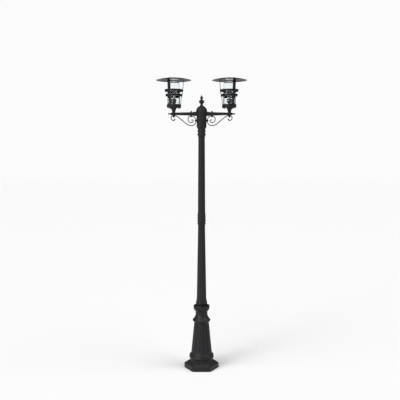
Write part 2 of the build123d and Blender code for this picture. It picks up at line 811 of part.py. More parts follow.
with BuildPart() as arm_collar:
    with BuildSketch(Plane.YZ.offset(arm_collar_middle - arm_collar_width / 2)):
        lobe_radius = scroll_rod_radius + arm_collar_wall
        band_radius = arm_hole_radius + arm_collar_wall
        with Locations((0, arm_level)):
            Circle(band_radius)
        with Locations((0, scroll_top_level)):
            Circle(lobe_radius)
        with BuildLine():
            Polyline(
                (-lobe_radius, arm_level - 4),
                (-lobe_radius, scroll_top_level),
                (-2, scroll_top_level - lobe_radius),
                (0, scroll_top_level - lobe_radius - collar_spike_height / 2),
                (2, scroll_top_level - lobe_radius),
                (lobe_radius, scroll_top_level),
                (lobe_radius, arm_level - 4),
                (4, arm_level + band_radius - 0.5),
                (0, arm_level + band_radius + collar_spike_height),
                (-4, arm_level + band_radius - 0.5),
                close=True,
            )
        make_face()
        with Locations((0, arm_level)):
            Circle(arm_hole_radius, mode=Mode.SUBTRACT)
        with Locations((0, scroll_top_level)):
            Circle(scroll_rod_radius + hole_clearance, mode=Mode.SUBTRACT)
    extrude(amount=arm_collar_width)
side_pieces["arm_collar"] = arm_collar

# =============================================================  scroll brackets
curl_rise = scroll_top_level - scroll_level
belly_start = (scroll_rod_x + belly_radius, scroll_level - inner_curl_drop - belly_radius)
belly_run = lantern_reach - lantern_eye_radius / 2 - belly_start[0]
belly_lift = lantern_eye_level - belly_start[1]
belly_total = belly_tightness * (belly_run**2 + belly_lift**2) / (2 * belly_lift)
belly_straight = sqrt(belly_run**2 + (belly_lift - belly_total) ** 2 - belly_total**2)
belly_angle = degrees(
    atan2(belly_lift - belly_total, belly_run) + atan2(belly_total, belly_straight)
)

with BuildPart() as scroll:
    with BuildLine(Plane.XZ) as scroll_line:
        up = JernArc((scroll_rod_x, scroll_level), (0, 1), curl_rise, -90)
        over = Line(up @ 1, (arm_collar_middle + 3, scroll_top_level))
        first = JernArc(over @ 1, (1, 0), inner_curl_radii[0], -90)
        drop = Line(first @ 1, first @ 1 - Vector(0, 0, inner_curl_drop))
        second = JernArc(drop @ 1, (0, -1), inner_curl_radii[1], -90)
        third = JernArc(second @ 1, (-1, 0), inner_curl_radii[2], -90)
        inner_end = JernArc(third @ 1, (0, 1), inner_curl_end_radius, -inner_curl_end_turn)
        down = Line((scroll_rod_x, scroll_level), (scroll_rod_x, scroll_level - inner_curl_drop))
        belly = JernArc(down @ 1, (0, -1), belly_radius, 90)
        lift = JernArc(belly @ 1, (1, 0), belly_split * belly_total, belly_angle)
        slope = PolarLine(lift @ 1, belly_straight, belly_angle)
        crest = JernArc(
            slope @ 1,
            (cos(radians(belly_angle)), sin(radians(belly_angle))),
            (1 - belly_split) * belly_total,
            -belly_angle,
        )
        level = Line(crest @ 1, (lantern_reach + outer_curl_lead, lantern_eye_level))
        fall = JernArc(level @ 1, (1, 0), outer_curl_radii[0], -90)
        under = JernArc(fall @ 1, (0, -1), outer_curl_radii[1], -90)
        outer_end = JernArc(under @ 1, (-1, 0), outer_curl_radii[2], -90)
    rod_path = scroll_line.wire()
    with BuildSketch(Plane(origin=rod_path @ 0, z_dir=rod_path % 0)):
        Circle(scroll_rod_radius)
    sweep(path=rod_path)
    with Locations(inner_end @ 1):
        Sphere(inner_ball_radius)
    with Locations((outer_end @ 1) + Vector(0, 0, 1.5)):
        Sphere(outer_ball_radius)
    with Locations(Location((scroll_face, 0, scroll_level), (0, 90, 0))):
        from_hub = (Align.CENTER, Align.CENTER, Align.MIN)
        eye_hole = screw_radius + thread_clearance
        Cylinder(scroll_eye_radius, scroll_eye_thickness, align=from_hub)
        Cylinder(eye_hole, scroll_eye_thickness, align=from_hub, mode=Mode.SUBTRACT)
    with BuildSketch(Plane.XY.offset(lantern_eye_bottom)):
        with Locations((lantern_reach, 0)):
            Circle(lantern_eye_radius)
    extrude(amount=2 * scroll_rod_radius + lantern_eye_lip)
    with Locations((lantern_reach, 0, lantern_eye_level)):
        Cylinder(tube_radius + thread_clearance, 4 * scroll_rod_radius, mode=Mode.SUBTRACT)
side_pieces["scroll"] = scroll

with BuildPart() as scroll_screw:
    screw_end = hub_cavity_apothem - 2
    head_face = scroll_face + scroll_eye_thickness
    with BuildSketch(Plane.YZ.offset(screw_end)):
        with Locations((0, scroll_level)):
            Circle(screw_radius)
    extrude(amount=head_face - screw_end)
    with BuildSketch(Plane.YZ.offset(head_face)):
        with Locations((0, scroll_level)):
            Circle(scroll_screw_head_radius)
    extrude(amount=scroll_screw_head_height)
    fillet(scroll_screw.edges().group_by(Axis.X)[-1], 0.6 * scroll_screw_head_height)

with BuildPart() as scroll_screws:
    for turn in both_ways:
        add(scroll_screw.part, rotation=(0, 0, turn))
pole_pieces["scroll_screws"] = scroll_screws

# ============================================================  wiring per side
holder_seat = holder_bottom + holder_floor / 2
cable_start = web_level - terminal_block_height / 2 - 3
cable_bend = web_level - cable_start
cable_end = holder_bottom + holder_floor

for side, side_sign in (("left", -1), ("right", 1)):
    cable_route = [
        (side_sign * terminal_block_length / 2, -terminal_block_offset, cable_start),
        (side_sign * terminal_block_length, -terminal_block_offset, cable_start),
        (side_sign * terminal_block_length, -terminal_block_offset, plinth_top + 0.5 * pedestal_height),
        (side_sign * cable_riser_offset, 0, pedestal_top + 0.3 * crown_height),
        (side_sign * cable_riser_offset, 0, arm_level),
        (side_sign * lantern_reach, 0, arm_level),
        (side_sign * lantern_reach, 0, cable_end),
    ]
    cable_radii = [
        cable_bend,
        cable_sweep_radius,
        cable_sweep_radius,
        cable_turn_radius,
        cable_elbow_radius,
    ]
    with BuildPart() as lamp_cable:
        with BuildLine() as cable_line:
            FilletPolyline(*cable_route, radius=cable_radii)
        with BuildSketch(Plane(origin=cable_line.line @ 0, z_dir=cable_line.line % 0)):
            Circle(cable_radius)
        sweep(path=cable_line.wire())
    pole_pieces[f"{side}_lamp_cable"] = lamp_cable

# ===============================================  lantern stem, tube and nuts
# Lantern pieces are drawn round their own axis at the origin, +X towards the pole.
stem_bottom = arm_level + arm_boss_height / 2
tube_bottom = lantern_eye_bottom - 0.52 * stem_nut_height

with BuildPart() as stem:
    with BuildSketch(Plane.XZ):
        middle = stem_bottom + 0.5 * stem_height
        middle_radius = stem_bottom_radius + 0.36 * (stem_top_radius - stem_bottom_radius)
        outline(
            (tube_radius + thread_clearance, stem_bottom),
            (stem_bottom_radius, stem_bottom),
            (stem_bottom_radius, stem_bottom + 5),
            (middle_radius, middle, stem_top_radius, cup_level),
            (stem_top_radius - stem_wall, cup_level),
            (middle_radius - stem_wall, middle, stem_bottom_radius - stem_wall, stem_bottom + 6),
            (tube_radius + thread_clearance, stem_bottom + 5),
        )
    revolve(axis=Axis.Z)
lantern_pieces["stem"] = stem

with BuildPart() as stem_tube:
    with BuildSketch(Plane.XY.offset(tube_bottom)):
        Circle(tube_radius)
        Circle(tube_bore_radius, mode=Mode.SUBTRACT)
    extrude(amount=holder_seat - tube_bottom)
    with Locations(Location((0, 0, arm_level), (0, 90, 0))):
        Cylinder(
            tube_window_radius,
            2 * tube_radius,
            align=(Align.CENTER, Align.CENTER, Align.MIN),
            mode=Mode.SUBTRACT,
        )
lantern_pieces["stem_tube"] = stem_tube

with BuildPart() as stem_nut:
    with BuildSketch(Plane.XY.offset(lantern_eye_bottom)):
        Circle(stem_nut_radius)
    extrude(amount=stem_nut_radius - stem_nut_height)
    with Locations((0, 0, lantern_eye_bottom - stem_nut_height + stem_nut_radius)):
        downwards = (Align.CENTER, Align.CENTER, Align.MAX)
        Sphere(stem_nut_radius, arc_size1=-90, arc_size2=0, align=downwards)
    with BuildSketch(Plane.XY.offset(lantern_eye_bottom)):
        Circle(tube_radius + thread_clearance)
    extrude(amount=tube_bottom - lantern_eye_bottom - 0.5, mode=Mode.SUBTRACT)

cup_hex_nut = hex_nut(cup_nut_across_flats, cup_nut_height, tube_radius + thread_clearance)
with BuildPart() as cup_nut:
    with Locations((0, 0, cup_level + cup_floor)):
        add(cup_hex_nut)

# ========================================================  cup, gasket and jar
strut_foot_radius = cup_radius + strut_thickness / 2 - strut_foot_length
foot_screw_circle = strut_foot_radius + strut_width / 4 + 1
cup_inner_radius = cup_radius - cup_wall
floor_top = cup_level + cup_floor

with BuildPart() as cup:
    with BuildSketch(Plane.XZ):
        arc_inset = cup_edge_radius * (1 - sin(pi / 4))
        outline(
            (tube_radius + thread_clearance, cup_level),
            (cup_radius - cup_edge_radius, cup_level),
            (
                cup_radius - arc_inset,
                cup_level + arc_inset,
                cup_radius,
                cup_level + cup_edge_radius,
            ),
            (cup_radius, cup_level + cup_height),
            (cup_inner_radius, cup_level + cup_height),
            (cup_inner_radius, floor_top + 2),
            (cup_inner_radius - 2, floor_top),
            (tube_radius + thread_clearance, floor_top),
        )
    revolve(axis=Axis.Z)
    with BuildSketch(Plane.XY.offset(cup_level)):
        with PolarLocations(foot_screw_circle, strut_count):
            Circle(screw_radius + thread_clearance)
    extrude(amount=cup_floor, mode=Mode.SUBTRACT)
lantern_pieces["cup"] = cup

with BuildPart() as jar_gasket:
    with BuildSketch(Plane.XY.offset(floor_top)):
        Circle(jar_radius + gasket_overlap)
        Circle(jar_radius - jar_wall - gasket_overlap, mode=Mode.SUBTRACT)
    extrude(amount=gasket_height)
lantern_pieces["jar_gasket"] = jar_gasket


def jar_outline(radius, shoulder, top):
    """Half section of the jar's outer or inner surface."""
    inset = shoulder * (1 - sin(pi / 4))
    outline(
        (0, jar_level),
        (radius, jar_level),
        (radius, top - shoulder),
        (radius - inset, top - inset, radius - shoulder, top),
        (0, top),
    )


with BuildPart() as glass_jar:
    with BuildSketch(Plane.XZ):
        jar_outline(jar_radius, jar_shoulder_radius, jar_level + jar_height)
    revolve(axis=Axis.Z)
    with BuildSketch(Plane.XZ):
        jar_outline(
            jar_radius - jar_wall, jar_shoulder_radius - jar_wall, jar_level + jar_height - jar_wall
        )
    revolve(axis=Axis.Z, mode=Mode.SUBTRACT)
    fillet(glass_jar.edges().group_by(Axis.Z)[0], 1.0)
lantern_pieces["glass_jar"] = glass_jar

# ==================================================================  lamp holder
contact_radius = cap_radius + cap_clearance
holder_bore_radius = contact_radius + contact_wall
holder_top = holder_bottom + holder_height

with BuildPart() as lamp_holder:
    with BuildSketch(Plane.XZ):
        outline(
            (tube_radius + thread_clearance, holder_bottom),
            (holder_neck_radius - 1.5, holder_bottom),
            (holder_neck_radius, holder_bottom + 1.5),
            (holder_neck_radius, holder_bottom + 6),
            (holder_radius - 1, holder_bottom + 9),
            (holder_radius, holder_bottom + 11),
            (holder_radius, holder_top - 1.5),
            (holder_radius - 1.5, holder_top),
            (holder_bore_radius, holder_top),
            (holder_bore_radius, cable_end),
            (cable_radius + thread_clearance, cable_end),
            (cable_radius + thread_clearance, holder_seat),
            (tube_radius + thread_clearance, holder_seat),
        )
    revolve(axis=Axis.Z)
lantern_pieces["lamp_holder"] = lamp_holder

with BuildPart() as socket_contacts:
    with BuildSketch(Plane.XY.offset(cable_end)):
        Circle(holder_bore_radius)
        Circle(contact_radius, mode=Mode.SUBTRACT)
    extrude(amount=holder_top - cable_end - 2)
    with BuildSketch(Plane.XY.offset(cable_end)):
        Circle(cable_radius + 2.5)
    extrude(amount=contact_wall)
lantern_pieces["socket_contacts"] = socket_contacts

# =========================================================================  bulb
cap_bottom = cable_end + contact_wall + contact_gap
cap_shell_bottom = cap_bottom + 6
cap_top = cap_bottom + cap_height
cap_root = cap_radius - thread_depth
bulb_centre = cap_top + bulb_length - bulb_radius

with BuildPart() as bulb_cap:
    with BuildSketch(Plane.XZ):
        ridges = []
        for n in range(thread_ridges):
            foot_level = cap_shell_bottom + 0.6 + n * thread_pitch
            ridges.append((cap_radius, foot_level + thread_pitch / 2, cap_root, foot_level + thread_pitch))
        outline(
            (0, cap_bottom),
            (3.5, cap_bottom),
            (5, cap_bottom + 1.5),
            (cap_root - 1, cap_shell_bottom),
            (cap_root, cap_shell_bottom + 0.6),
            *ridges,
            (cap_root, cap_top - 2),
            (cap_radius - 0.2, cap_top),
            (cap_root - 1, cap_top),
            (cap_root - 1, cap_shell_bottom + 1),
            (0, cap_shell_bottom + 1),
        )
    revolve(axis=Axis.Z)
lantern_pieces["bulb_cap"] = bulb_cap


def bulb_outline(skin):
    """Half section of the bulb, drawn a glass thickness in where skin is one."""
    ball, neck = bulb_radius - skin, bulb_neck_radius - skin
    turn = radians(-42)
    with BuildLine() as profile:
        Line((0, cap_top), (neck, cap_top))
        Line((neck, cap_top), (neck, cap_top + 4))
        Spline(
            (neck, cap_top + 4),
            (ball * cos(turn), bulb_centre + ball * sin(turn)),
            tangents=((0, 1), (-sin(turn), cos(turn))),
        )
        ThreePointArc(
            (ball * cos(turn), bulb_centre + ball * sin(turn)), (ball, bulb_centre), (0, bulb_centre + ball)
        )
        Line((0, bulb_centre + ball), (0, cap_top))
    make_face(profile.edges())


with BuildPart() as bulb_envelope:
    with BuildSketch(Plane.XZ):
        bulb_outline(0)
    revolve(axis=Axis.Z)
    with BuildSketch(Plane.XZ):
        bulb_outline(bulb_glass)
    revolve(axis=Axis.Z, mode=Mode.SUBTRACT)
lantern_pieces["bulb_envelope"] = bulb_envelope

with BuildPart() as bulb_filament:
    stem_top = cap_top + 20
    with BuildSketch(Plane.XZ):
        outline(
            (0, cap_shell_bottom + 1),
            (6, cap_shell_bottom + 1),
            (5, cap_top),
            (2.5, stem_top),
            (0, stem_top),
        )
    revolve(axis=Axis.Z)
    with BuildLine(Plane.XZ) as filament_line:
        FilletPolyline(
            (-1.5, stem_top - 3),
            (-9, bulb_centre - 4),
            (-9, bulb_centre + 3),
            (9, bulb_centre + 3),
            (9, bulb_centre - 4),
            (1.5, stem_top - 3),
            radius=2.5,
        )
    with BuildSketch(Plane(origin=filament_line.line @ 0, z_dir=filament_line.line % 0)):
        Circle(0.5)
    sweep(path=filament_line.wire())
lantern_pieces["bulb_filament"] = bulb_filament

# ========================================================================  hat
hat_half_angle = degrees(asin(hat_radius / hat_arc_radius))

with BuildPart() as hat:
    with BuildSketch(Plane.XZ):
        with BuildLine():
            top_arc = JernArc((0, hat_top), (1, 0), hat_arc_radius, -hat_half_angle)
            Line(top_arc @ 1, (hat_radius, hat_rim - hat_lip))
            Line((hat_radius, hat_rim - hat_lip), (hat_radius - hat_sheet, hat_rim - hat_lip))
            inner_rim = (hat_radius - hat_sheet, hat_under(hat_radius - hat_sheet))
            Line((hat_radius - hat_sheet, hat_rim - hat_lip), inner_rim)
            ThreePointArc(inner_rim, (hat_radius / 2, hat_under(hat_radius / 2)), (0, hat_under(0)))
            Line((0, hat_under(0)), (0, hat_top))
        make_face()
    revolve(axis=Axis.Z)
    with BuildSketch(Plane.XY.offset(hat_rim)):
        with PolarLocations(hat_screw_circle, strut_count):
            Circle(screw_radius + hole_clearance)
    extrude(amount=hat_rise, mode=Mode.SUBTRACT)
lantern_pieces["hat"] = hat

with BuildPart() as hat_shield:
    with BuildSketch(Plane.XY.offset(hat_under(0) - shield_drop)):
        Circle(shield_radius)
    extrude(amount=shield_sheet)
    fillet(hat_shield.edges(), 0.6)
    with BuildSketch(Plane.XY.offset(hat_under(0) - shield_drop)):
        Circle(shield_boss_radius)
    extrude(amount=shield_drop + hat_sheet / 2)
    add(hat.part, mode=Mode.SUBTRACT)
lantern_pieces["hat_shield"] = hat_shield

# ==================================================================  cage struts
tab_slope = hat_screw_circle / sqrt((hat_arc_radius - hat_sheet) ** 2 - hat_screw_circle**2)


def tab_level(radius):
    """Middle of the strut's tab, which lies along the hat's underside."""
    contact = hat_under(hat_screw_circle) - hat_gap - strut_thickness / 2
    return contact - tab_slope * (radius - hat_screw_circle)


cup_hug = cup_radius + strut_thickness / 2
low_hug = lower_band_radius + strut_thickness / 2
high_hug = upper_band_radius + strut_thickness / 2
low_level = cup_level + lower_band_level
high_level = cup_level + upper_band_level
half_grip = band_height / 2 + 1
foot_level = cup_level - strut_thickness / 2
tab_end = strut_top_radius - strut_tab_length
strut_route = [
    (strut_foot_radius, foot_level),
    (cup_hug, foot_level),
    (cup_hug, cup_level + cup_height + 14),
    (cup_hug + 3.5, low_level - half_grip - 12),
    (low_hug, low_level - half_grip),
    (low_hug, low_level + half_grip),
    (high_hug, high_level - half_grip),
    (high_hug, high_level + half_grip),
    (strut_top_radius, hat_rim - 18),
    (strut_top_radius, tab_level(strut_top_radius)),
    (tab_end, tab_level(tab_end)),
]
strut_bends = [cup_edge_radius + strut_thickness / 2, 40, 8, 4, 4, 8, 8, 40, 5]

with BuildPart() as strut:
    with BuildLine(Plane.XZ) as strut_line:
        FilletPolyline(*strut_route, radius=strut_bends)
    with BuildSketch(Plane(origin=strut_line.line @ 0, x_dir=(0, 1, 0), z_dir=strut_line.line % 0)):
        Rectangle(strut_width, strut_thickness)
    sweep(path=strut_line.wire())
    with Locations(
        (foot_screw_circle, 0, foot_level), (hat_screw_circle, 0, tab_level(hat_screw_circle))
    ):
        Cylinder(screw_radius + hole_clearance, 3 * strut_thickness, mode=Mode.SUBTRACT)
    for hug, band_middle in ((low_hug, low_level), (high_hug, high_level)):
        with Locations(Location((hug, 0, band_middle), (0, 90, 0))):
            Cylinder(rivet_radius + thread_clearance, 3 * strut_thickness, mode=Mode.SUBTRACT)

with BuildPart() as struts:
    with PolarLocations(0, strut_count):
        add(strut.part)
lantern_pieces["struts"] = struts

for name, radius, band_middle in (
    ("lower_band", lower_band_radius, low_level),
    ("upper_band", upper_band_radius, high_level),
):
    with BuildPart() as band:
        with BuildSketch(Plane.XY.offset(band_middle - band_height / 2)):
            Circle(radius)
            Circle(radius - band_thickness, mode=Mode.SUBTRACT)
        extrude(amount=band_height)
        chamfer(band.edges(), 0.5)
        with PolarLocations(radius, strut_count):
            with Locations(Location((0, 0, band_middle), (0, 90, 0))):
                Cylinder(rivet_radius + thread_clearance, 4 * band_thickness, mode=Mode.SUBTRACT)
    lantern_pieces[name] = band

with BuildPart() as cage_rivets:
    for radius, band_middle in ((lower_band_radius, low_level), (upper_band_radius, high_level)):
        with PolarLocations(radius - band_thickness - rivet_head_height, strut_count):
            with Locations(Location((0, 0, band_middle), (0, 90, 0))):
                outwards_from = (Align.CENTER, Align.CENTER, Align.MIN)
                grip = band_thickness + strut_thickness
                Cylinder(rivet_radius, grip + 2 * rivet_head_height, align=outwards_from)
                Cylinder(rivet_head_radius, rivet_head_height - 0.4, align=outwards_from)
        with PolarLocations(radius + strut_thickness, strut_count):
            with Locations(Location((0, 0, band_middle), (0, 90, 0))):
                Cone(
                    rivet_head_radius,
                    0.6 * rivet_head_radius,
                    rivet_head_height,
                    align=outwards_from,
                )

with BuildPart() as foot_screws:
    with BuildSketch(Plane.XY.offset(foot_level - strut_thickness / 2)):
        with PolarLocations(foot_screw_circle, strut_count):
            Circle(screw_radius)
    extrude(amount=strut_thickness + cup_floor + 2)
    with BuildSketch(Plane.XY.offset(foot_level - strut_thickness / 2)):
        with PolarLocations(foot_screw_circle, strut_count):
            Circle(screw_head_radius)
    extrude(amount=-screw_head_height)
    fillet(foot_screws.edges().group_by(Axis.Z)[0], 1.0)

with BuildPart() as hat_screws:
    tab_underside = tab_level(hat_screw_circle) - strut_thickness
    screw_seat = hat_under(hat_screw_circle)
    head_dip = tab_slope * screw_head_radius + 0.1
    with BuildSketch(Plane.XY.offset(tab_underside - 4)):
        with PolarLocations(hat_screw_circle, strut_count):
            Circle(screw_radius)
    extrude(amount=screw_seat + hat_sheet - tab_underside + 4)
    with BuildSketch(Plane.XY.offset(screw_seat + hat_sheet - head_dip)):
        with PolarLocations(hat_screw_circle, strut_count):
            Circle(screw_head_radius)
    extrude(amount=screw_head_height + head_dip)
    fillet(hat_screws.edges().group_by(Axis.Z)[-1], 1.2)
    add(hat.part, mode=Mode.SUBTRACT)
lantern_pieces["hat_screws"] = hat_screws

# ======================================================  placing and writing out
lantern_places = {
    "left": Location((-lantern_reach, 0, 0)),
    "right": Location((lantern_reach, 0, 0), (0, 0, 180)),
}
side_turns = {"left": Location((0, 0, 0), (0, 0, 180)), "right": Location((0, 0, 0))}
shared_fasteners = {
    "stem_nuts": stem_nut,
    "cup_nuts": cup_nut,
    "cage_rivets": cage_rivets,
    "strut_foot_screws": foot_screws,
}


def write(block, name):
    """Labels a finished piece and writes it as its own file."""
    block.part.label = name
    export_step(block.part, f"parts/{name}.step")


def placed(block, places):
    """One piece put at each of the places."""
    with BuildPart() as copies:
        with Locations(*places):
            add(block.part)
    return copies


for name, block in pole_pieces.items():
    write(block, name)
for side in ("left", "right"):
    for name, block in side_pieces.items():
        write(placed(block, [side_turns[side]]), f"{side}_{name}")
    for name, block in lantern_pieces.items():
        write(placed(block, [lantern_places[side]]), f"{side}_{name}")
for name, block in shared_fasteners.items():
    write(placed(block, lantern_places.values()), name)
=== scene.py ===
import json
from math import atan2, cos, exp, hypot, pi, radians, sin, sqrt

import bmesh
import bpy
from mathutils import Matrix, Vector

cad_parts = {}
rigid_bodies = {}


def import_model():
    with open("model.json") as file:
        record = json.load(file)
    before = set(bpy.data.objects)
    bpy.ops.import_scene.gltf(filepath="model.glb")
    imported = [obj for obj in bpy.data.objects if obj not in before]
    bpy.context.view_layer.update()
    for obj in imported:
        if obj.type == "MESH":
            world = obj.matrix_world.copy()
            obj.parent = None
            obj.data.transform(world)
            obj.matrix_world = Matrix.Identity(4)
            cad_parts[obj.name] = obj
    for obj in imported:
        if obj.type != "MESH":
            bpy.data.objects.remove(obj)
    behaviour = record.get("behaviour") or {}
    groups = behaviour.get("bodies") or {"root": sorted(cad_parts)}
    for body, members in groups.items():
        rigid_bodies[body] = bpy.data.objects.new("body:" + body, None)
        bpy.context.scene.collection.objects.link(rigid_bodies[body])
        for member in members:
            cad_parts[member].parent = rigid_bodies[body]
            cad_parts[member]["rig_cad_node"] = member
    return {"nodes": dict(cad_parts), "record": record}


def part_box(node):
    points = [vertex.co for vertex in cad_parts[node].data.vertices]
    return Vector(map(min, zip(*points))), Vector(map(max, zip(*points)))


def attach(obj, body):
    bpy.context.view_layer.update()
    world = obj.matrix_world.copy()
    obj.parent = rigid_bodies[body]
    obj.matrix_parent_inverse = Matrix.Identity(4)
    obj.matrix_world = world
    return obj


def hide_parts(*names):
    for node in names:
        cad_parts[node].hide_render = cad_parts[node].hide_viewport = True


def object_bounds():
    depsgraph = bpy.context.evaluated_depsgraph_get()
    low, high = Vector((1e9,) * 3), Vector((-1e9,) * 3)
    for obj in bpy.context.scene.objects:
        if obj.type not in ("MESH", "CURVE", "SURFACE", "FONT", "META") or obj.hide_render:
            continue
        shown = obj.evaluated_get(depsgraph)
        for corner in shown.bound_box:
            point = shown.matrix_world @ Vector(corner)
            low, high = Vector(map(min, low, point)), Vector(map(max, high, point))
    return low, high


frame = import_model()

bl_info = {
    "name": "Twin Lantern Garden Post",
    "version": (1, 0, 0),
    "blender": (4, 5, 0),
    "location": "View3D > Sidebar > Lamp Post",
    "description": "Finishes a cast garden lamp post with two caged glass lanterns",
    "category": "Object",
}

cad_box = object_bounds()
nodes = frame["nodes"]
body_of = {node: body for body, names in frame["record"]["behaviour"]["bodies"].items() for node in names}
slot_of = {row["node"]: row["material_slot"] for row in frame["record"]["subparts"]}
slot_colour = {row["slot"]: tuple(row["base_color"][:3]) for row in frame["record"]["materials"]}
sides = ("left", "right")
MM = 0.001


# ------------------------------------------------------------------ properties
class PostSizes(bpy.types.PropertyGroup):
    """Sizes of the modelled ornament and glass."""

    crown_leaves: bpy.props.IntProperty(
        name="Crown leaves", description="Leaves round the crown's cup", default=10, min=3
    )
    leaf_depth: bpy.props.FloatProperty(
        name="Leaf depth", description="Depth of the valleys between leaves", default=2.6 * MM, unit="LENGTH"
    )
    vein_depth: bpy.props.FloatProperty(
        name="Vein depth", description="Depth of the veins cut in each leaf", default=0.8 * MM, unit="LENGTH"
    )
    collar_petals: bpy.props.IntProperty(
        name="Collar petals", description="Petals round the middle collar", default=8, min=3
    )
    petal_depth: bpy.props.FloatProperty(
        name="Petal depth", description="Depth of the valleys between petals", default=1.8 * MM, unit="LENGTH"
    )
    hat_bead: bpy.props.FloatProperty(
        name="Hat bead",
        description="Radius of the wire rolled into the hat's rim",
        default=1.3 * MM,
        unit="LENGTH",
    )
    jar_wall: bpy.props.FloatProperty(
        name="Jar wall", description="Thickness of the jar's glass", default=2 * MM, unit="LENGTH"
    )
    filament_pitch: bpy.props.FloatProperty(
        name="Filament pitch",
        description="Distance between the filament's turns",
        default=0.9 * MM,
        unit="LENGTH",
    )


class PostFinishes(bpy.types.PropertyGroup):
    """Colours and surface character of the finishes."""

    paint_colour: bpy.props.FloatVectorProperty(
        name="Paint colour",
        description="Black paint on the castings",
        default=tuple(0.4 * channel for channel in slot_colour["black_casting_paint"]),
        subtype="COLOR",
        size=3,
        min=0,
        max=1,
    )
    dust_colour: bpy.props.FloatVectorProperty(
        name="Dust colour",
        description="Dust lying on ledges and near the ground",
        default=(0.1, 0.093, 0.084),
        subtype="COLOR",
        size=3,
        min=0,
        max=1,
    )
    dust_amount: bpy.props.FloatProperty(
        name="Dust amount",
        description="How much dust lies on the ledges",
        default=0.1,
        min=0,
        max=1,
        subtype="FACTOR",
    )
    cast_grain: bpy.props.FloatProperty(
        name="Cast grain", description="Height of the castings' fine grain", default=0.16 * MM, unit="LENGTH"
    )
    glass_tint: bpy.props.FloatVectorProperty(
        name="Glass tint",
        description="Tint of the jar's glass",
        default=(0.93, 0.96, 0.97),
        subtype="COLOR",
        size=3,
        min=0,
        max=1,
    )
    glass_index: bpy.props.FloatProperty(
        name="Glass index", description="Refraction index, lower than real glass to look clear", default=1.2
    )
    paint_specular: bpy.props.FloatProperty(
        name="Paint specular", description="Specular level of the black paint", default=0.22, min=0, max=1
    )


class PostStage(bpy.types.PropertyGroup):
    """The floor, the lights and the camera."""

    floor_size: bpy.props.FloatProperty(
        name="Floor size", description="Length of the floor's side", default=60.0, unit="LENGTH"
    )
    floor_colour: bpy.props.FloatVectorProperty(
        name="Floor colour",
        description="Pale floor",
        default=(0.86, 0.855, 0.86),
        subtype="COLOR",
        size=3,
        min=0,
        max=1,
    )
    key_strength: bpy.props.FloatProperty(
        name="Key strength", description="Strength of the broad light from the front left", default=2.1
    )
    fill_strength: bpy.props.FloatProperty(
        name="Fill strength", description="Strength of the broad light from the right", default=1.6
    )
    low_strength: bpy.props.FloatProperty(
        name="Low strength", description="Strength of the low light that runs down the shafts", default=1.5
    )
    sky_strength: bpy.props.FloatProperty(
        name="Backdrop strength", description="Brightness of the white surroundings as seen", default=0.97
    )
    room_strength: bpy.props.FloatProperty(
        name="Room strength", description="Brightness of the room as it lights the post", default=0.16
    )
    camera_distance: bpy.props.FloatProperty(
        name="Camera distance", description="From the post's axis to the camera", default=5.245, unit="LENGTH"
    )
    camera_height: bpy.props.FloatProperty(
        name="Camera height", description="Camera's height", default=1.815, unit="LENGTH"
    )
    camera_offset: bpy.props.FloatProperty(
        name="Camera offset", description="Camera's place along X", default=-0.013, unit="LENGTH"
    )
    camera_tilt: bpy.props.FloatProperty(
        name="Camera tilt", description="Downward tilt of the camera", default=radians(4.441), subtype="ANGLE"
    )
    camera_lens: bpy.props.FloatProperty(
        name="Lens", description="Focal length in millimetres", default=57.47
    )


# --------------------------------------------------------------------- shaders
class Value:
    """A node's output socket; arithmetic on it adds the Math nodes it needs."""

    def __init__(self, finish, socket):
        self.finish = finish
        self.socket = socket

    def math(self, operation, first, second):
        return self.finish.node("ShaderNodeMath", {"operation": operation}, {0: first, 1: second})

    def __add__(self, other):
        return self.math("ADD", self, other)

    def __radd__(self, other):
        return self.math("ADD", other, self)

    def __rsub__(self, other):
        return self.math("SUBTRACT", other, self)

    def __mul__(self, other):
        return self.math("MULTIPLY", self, other)


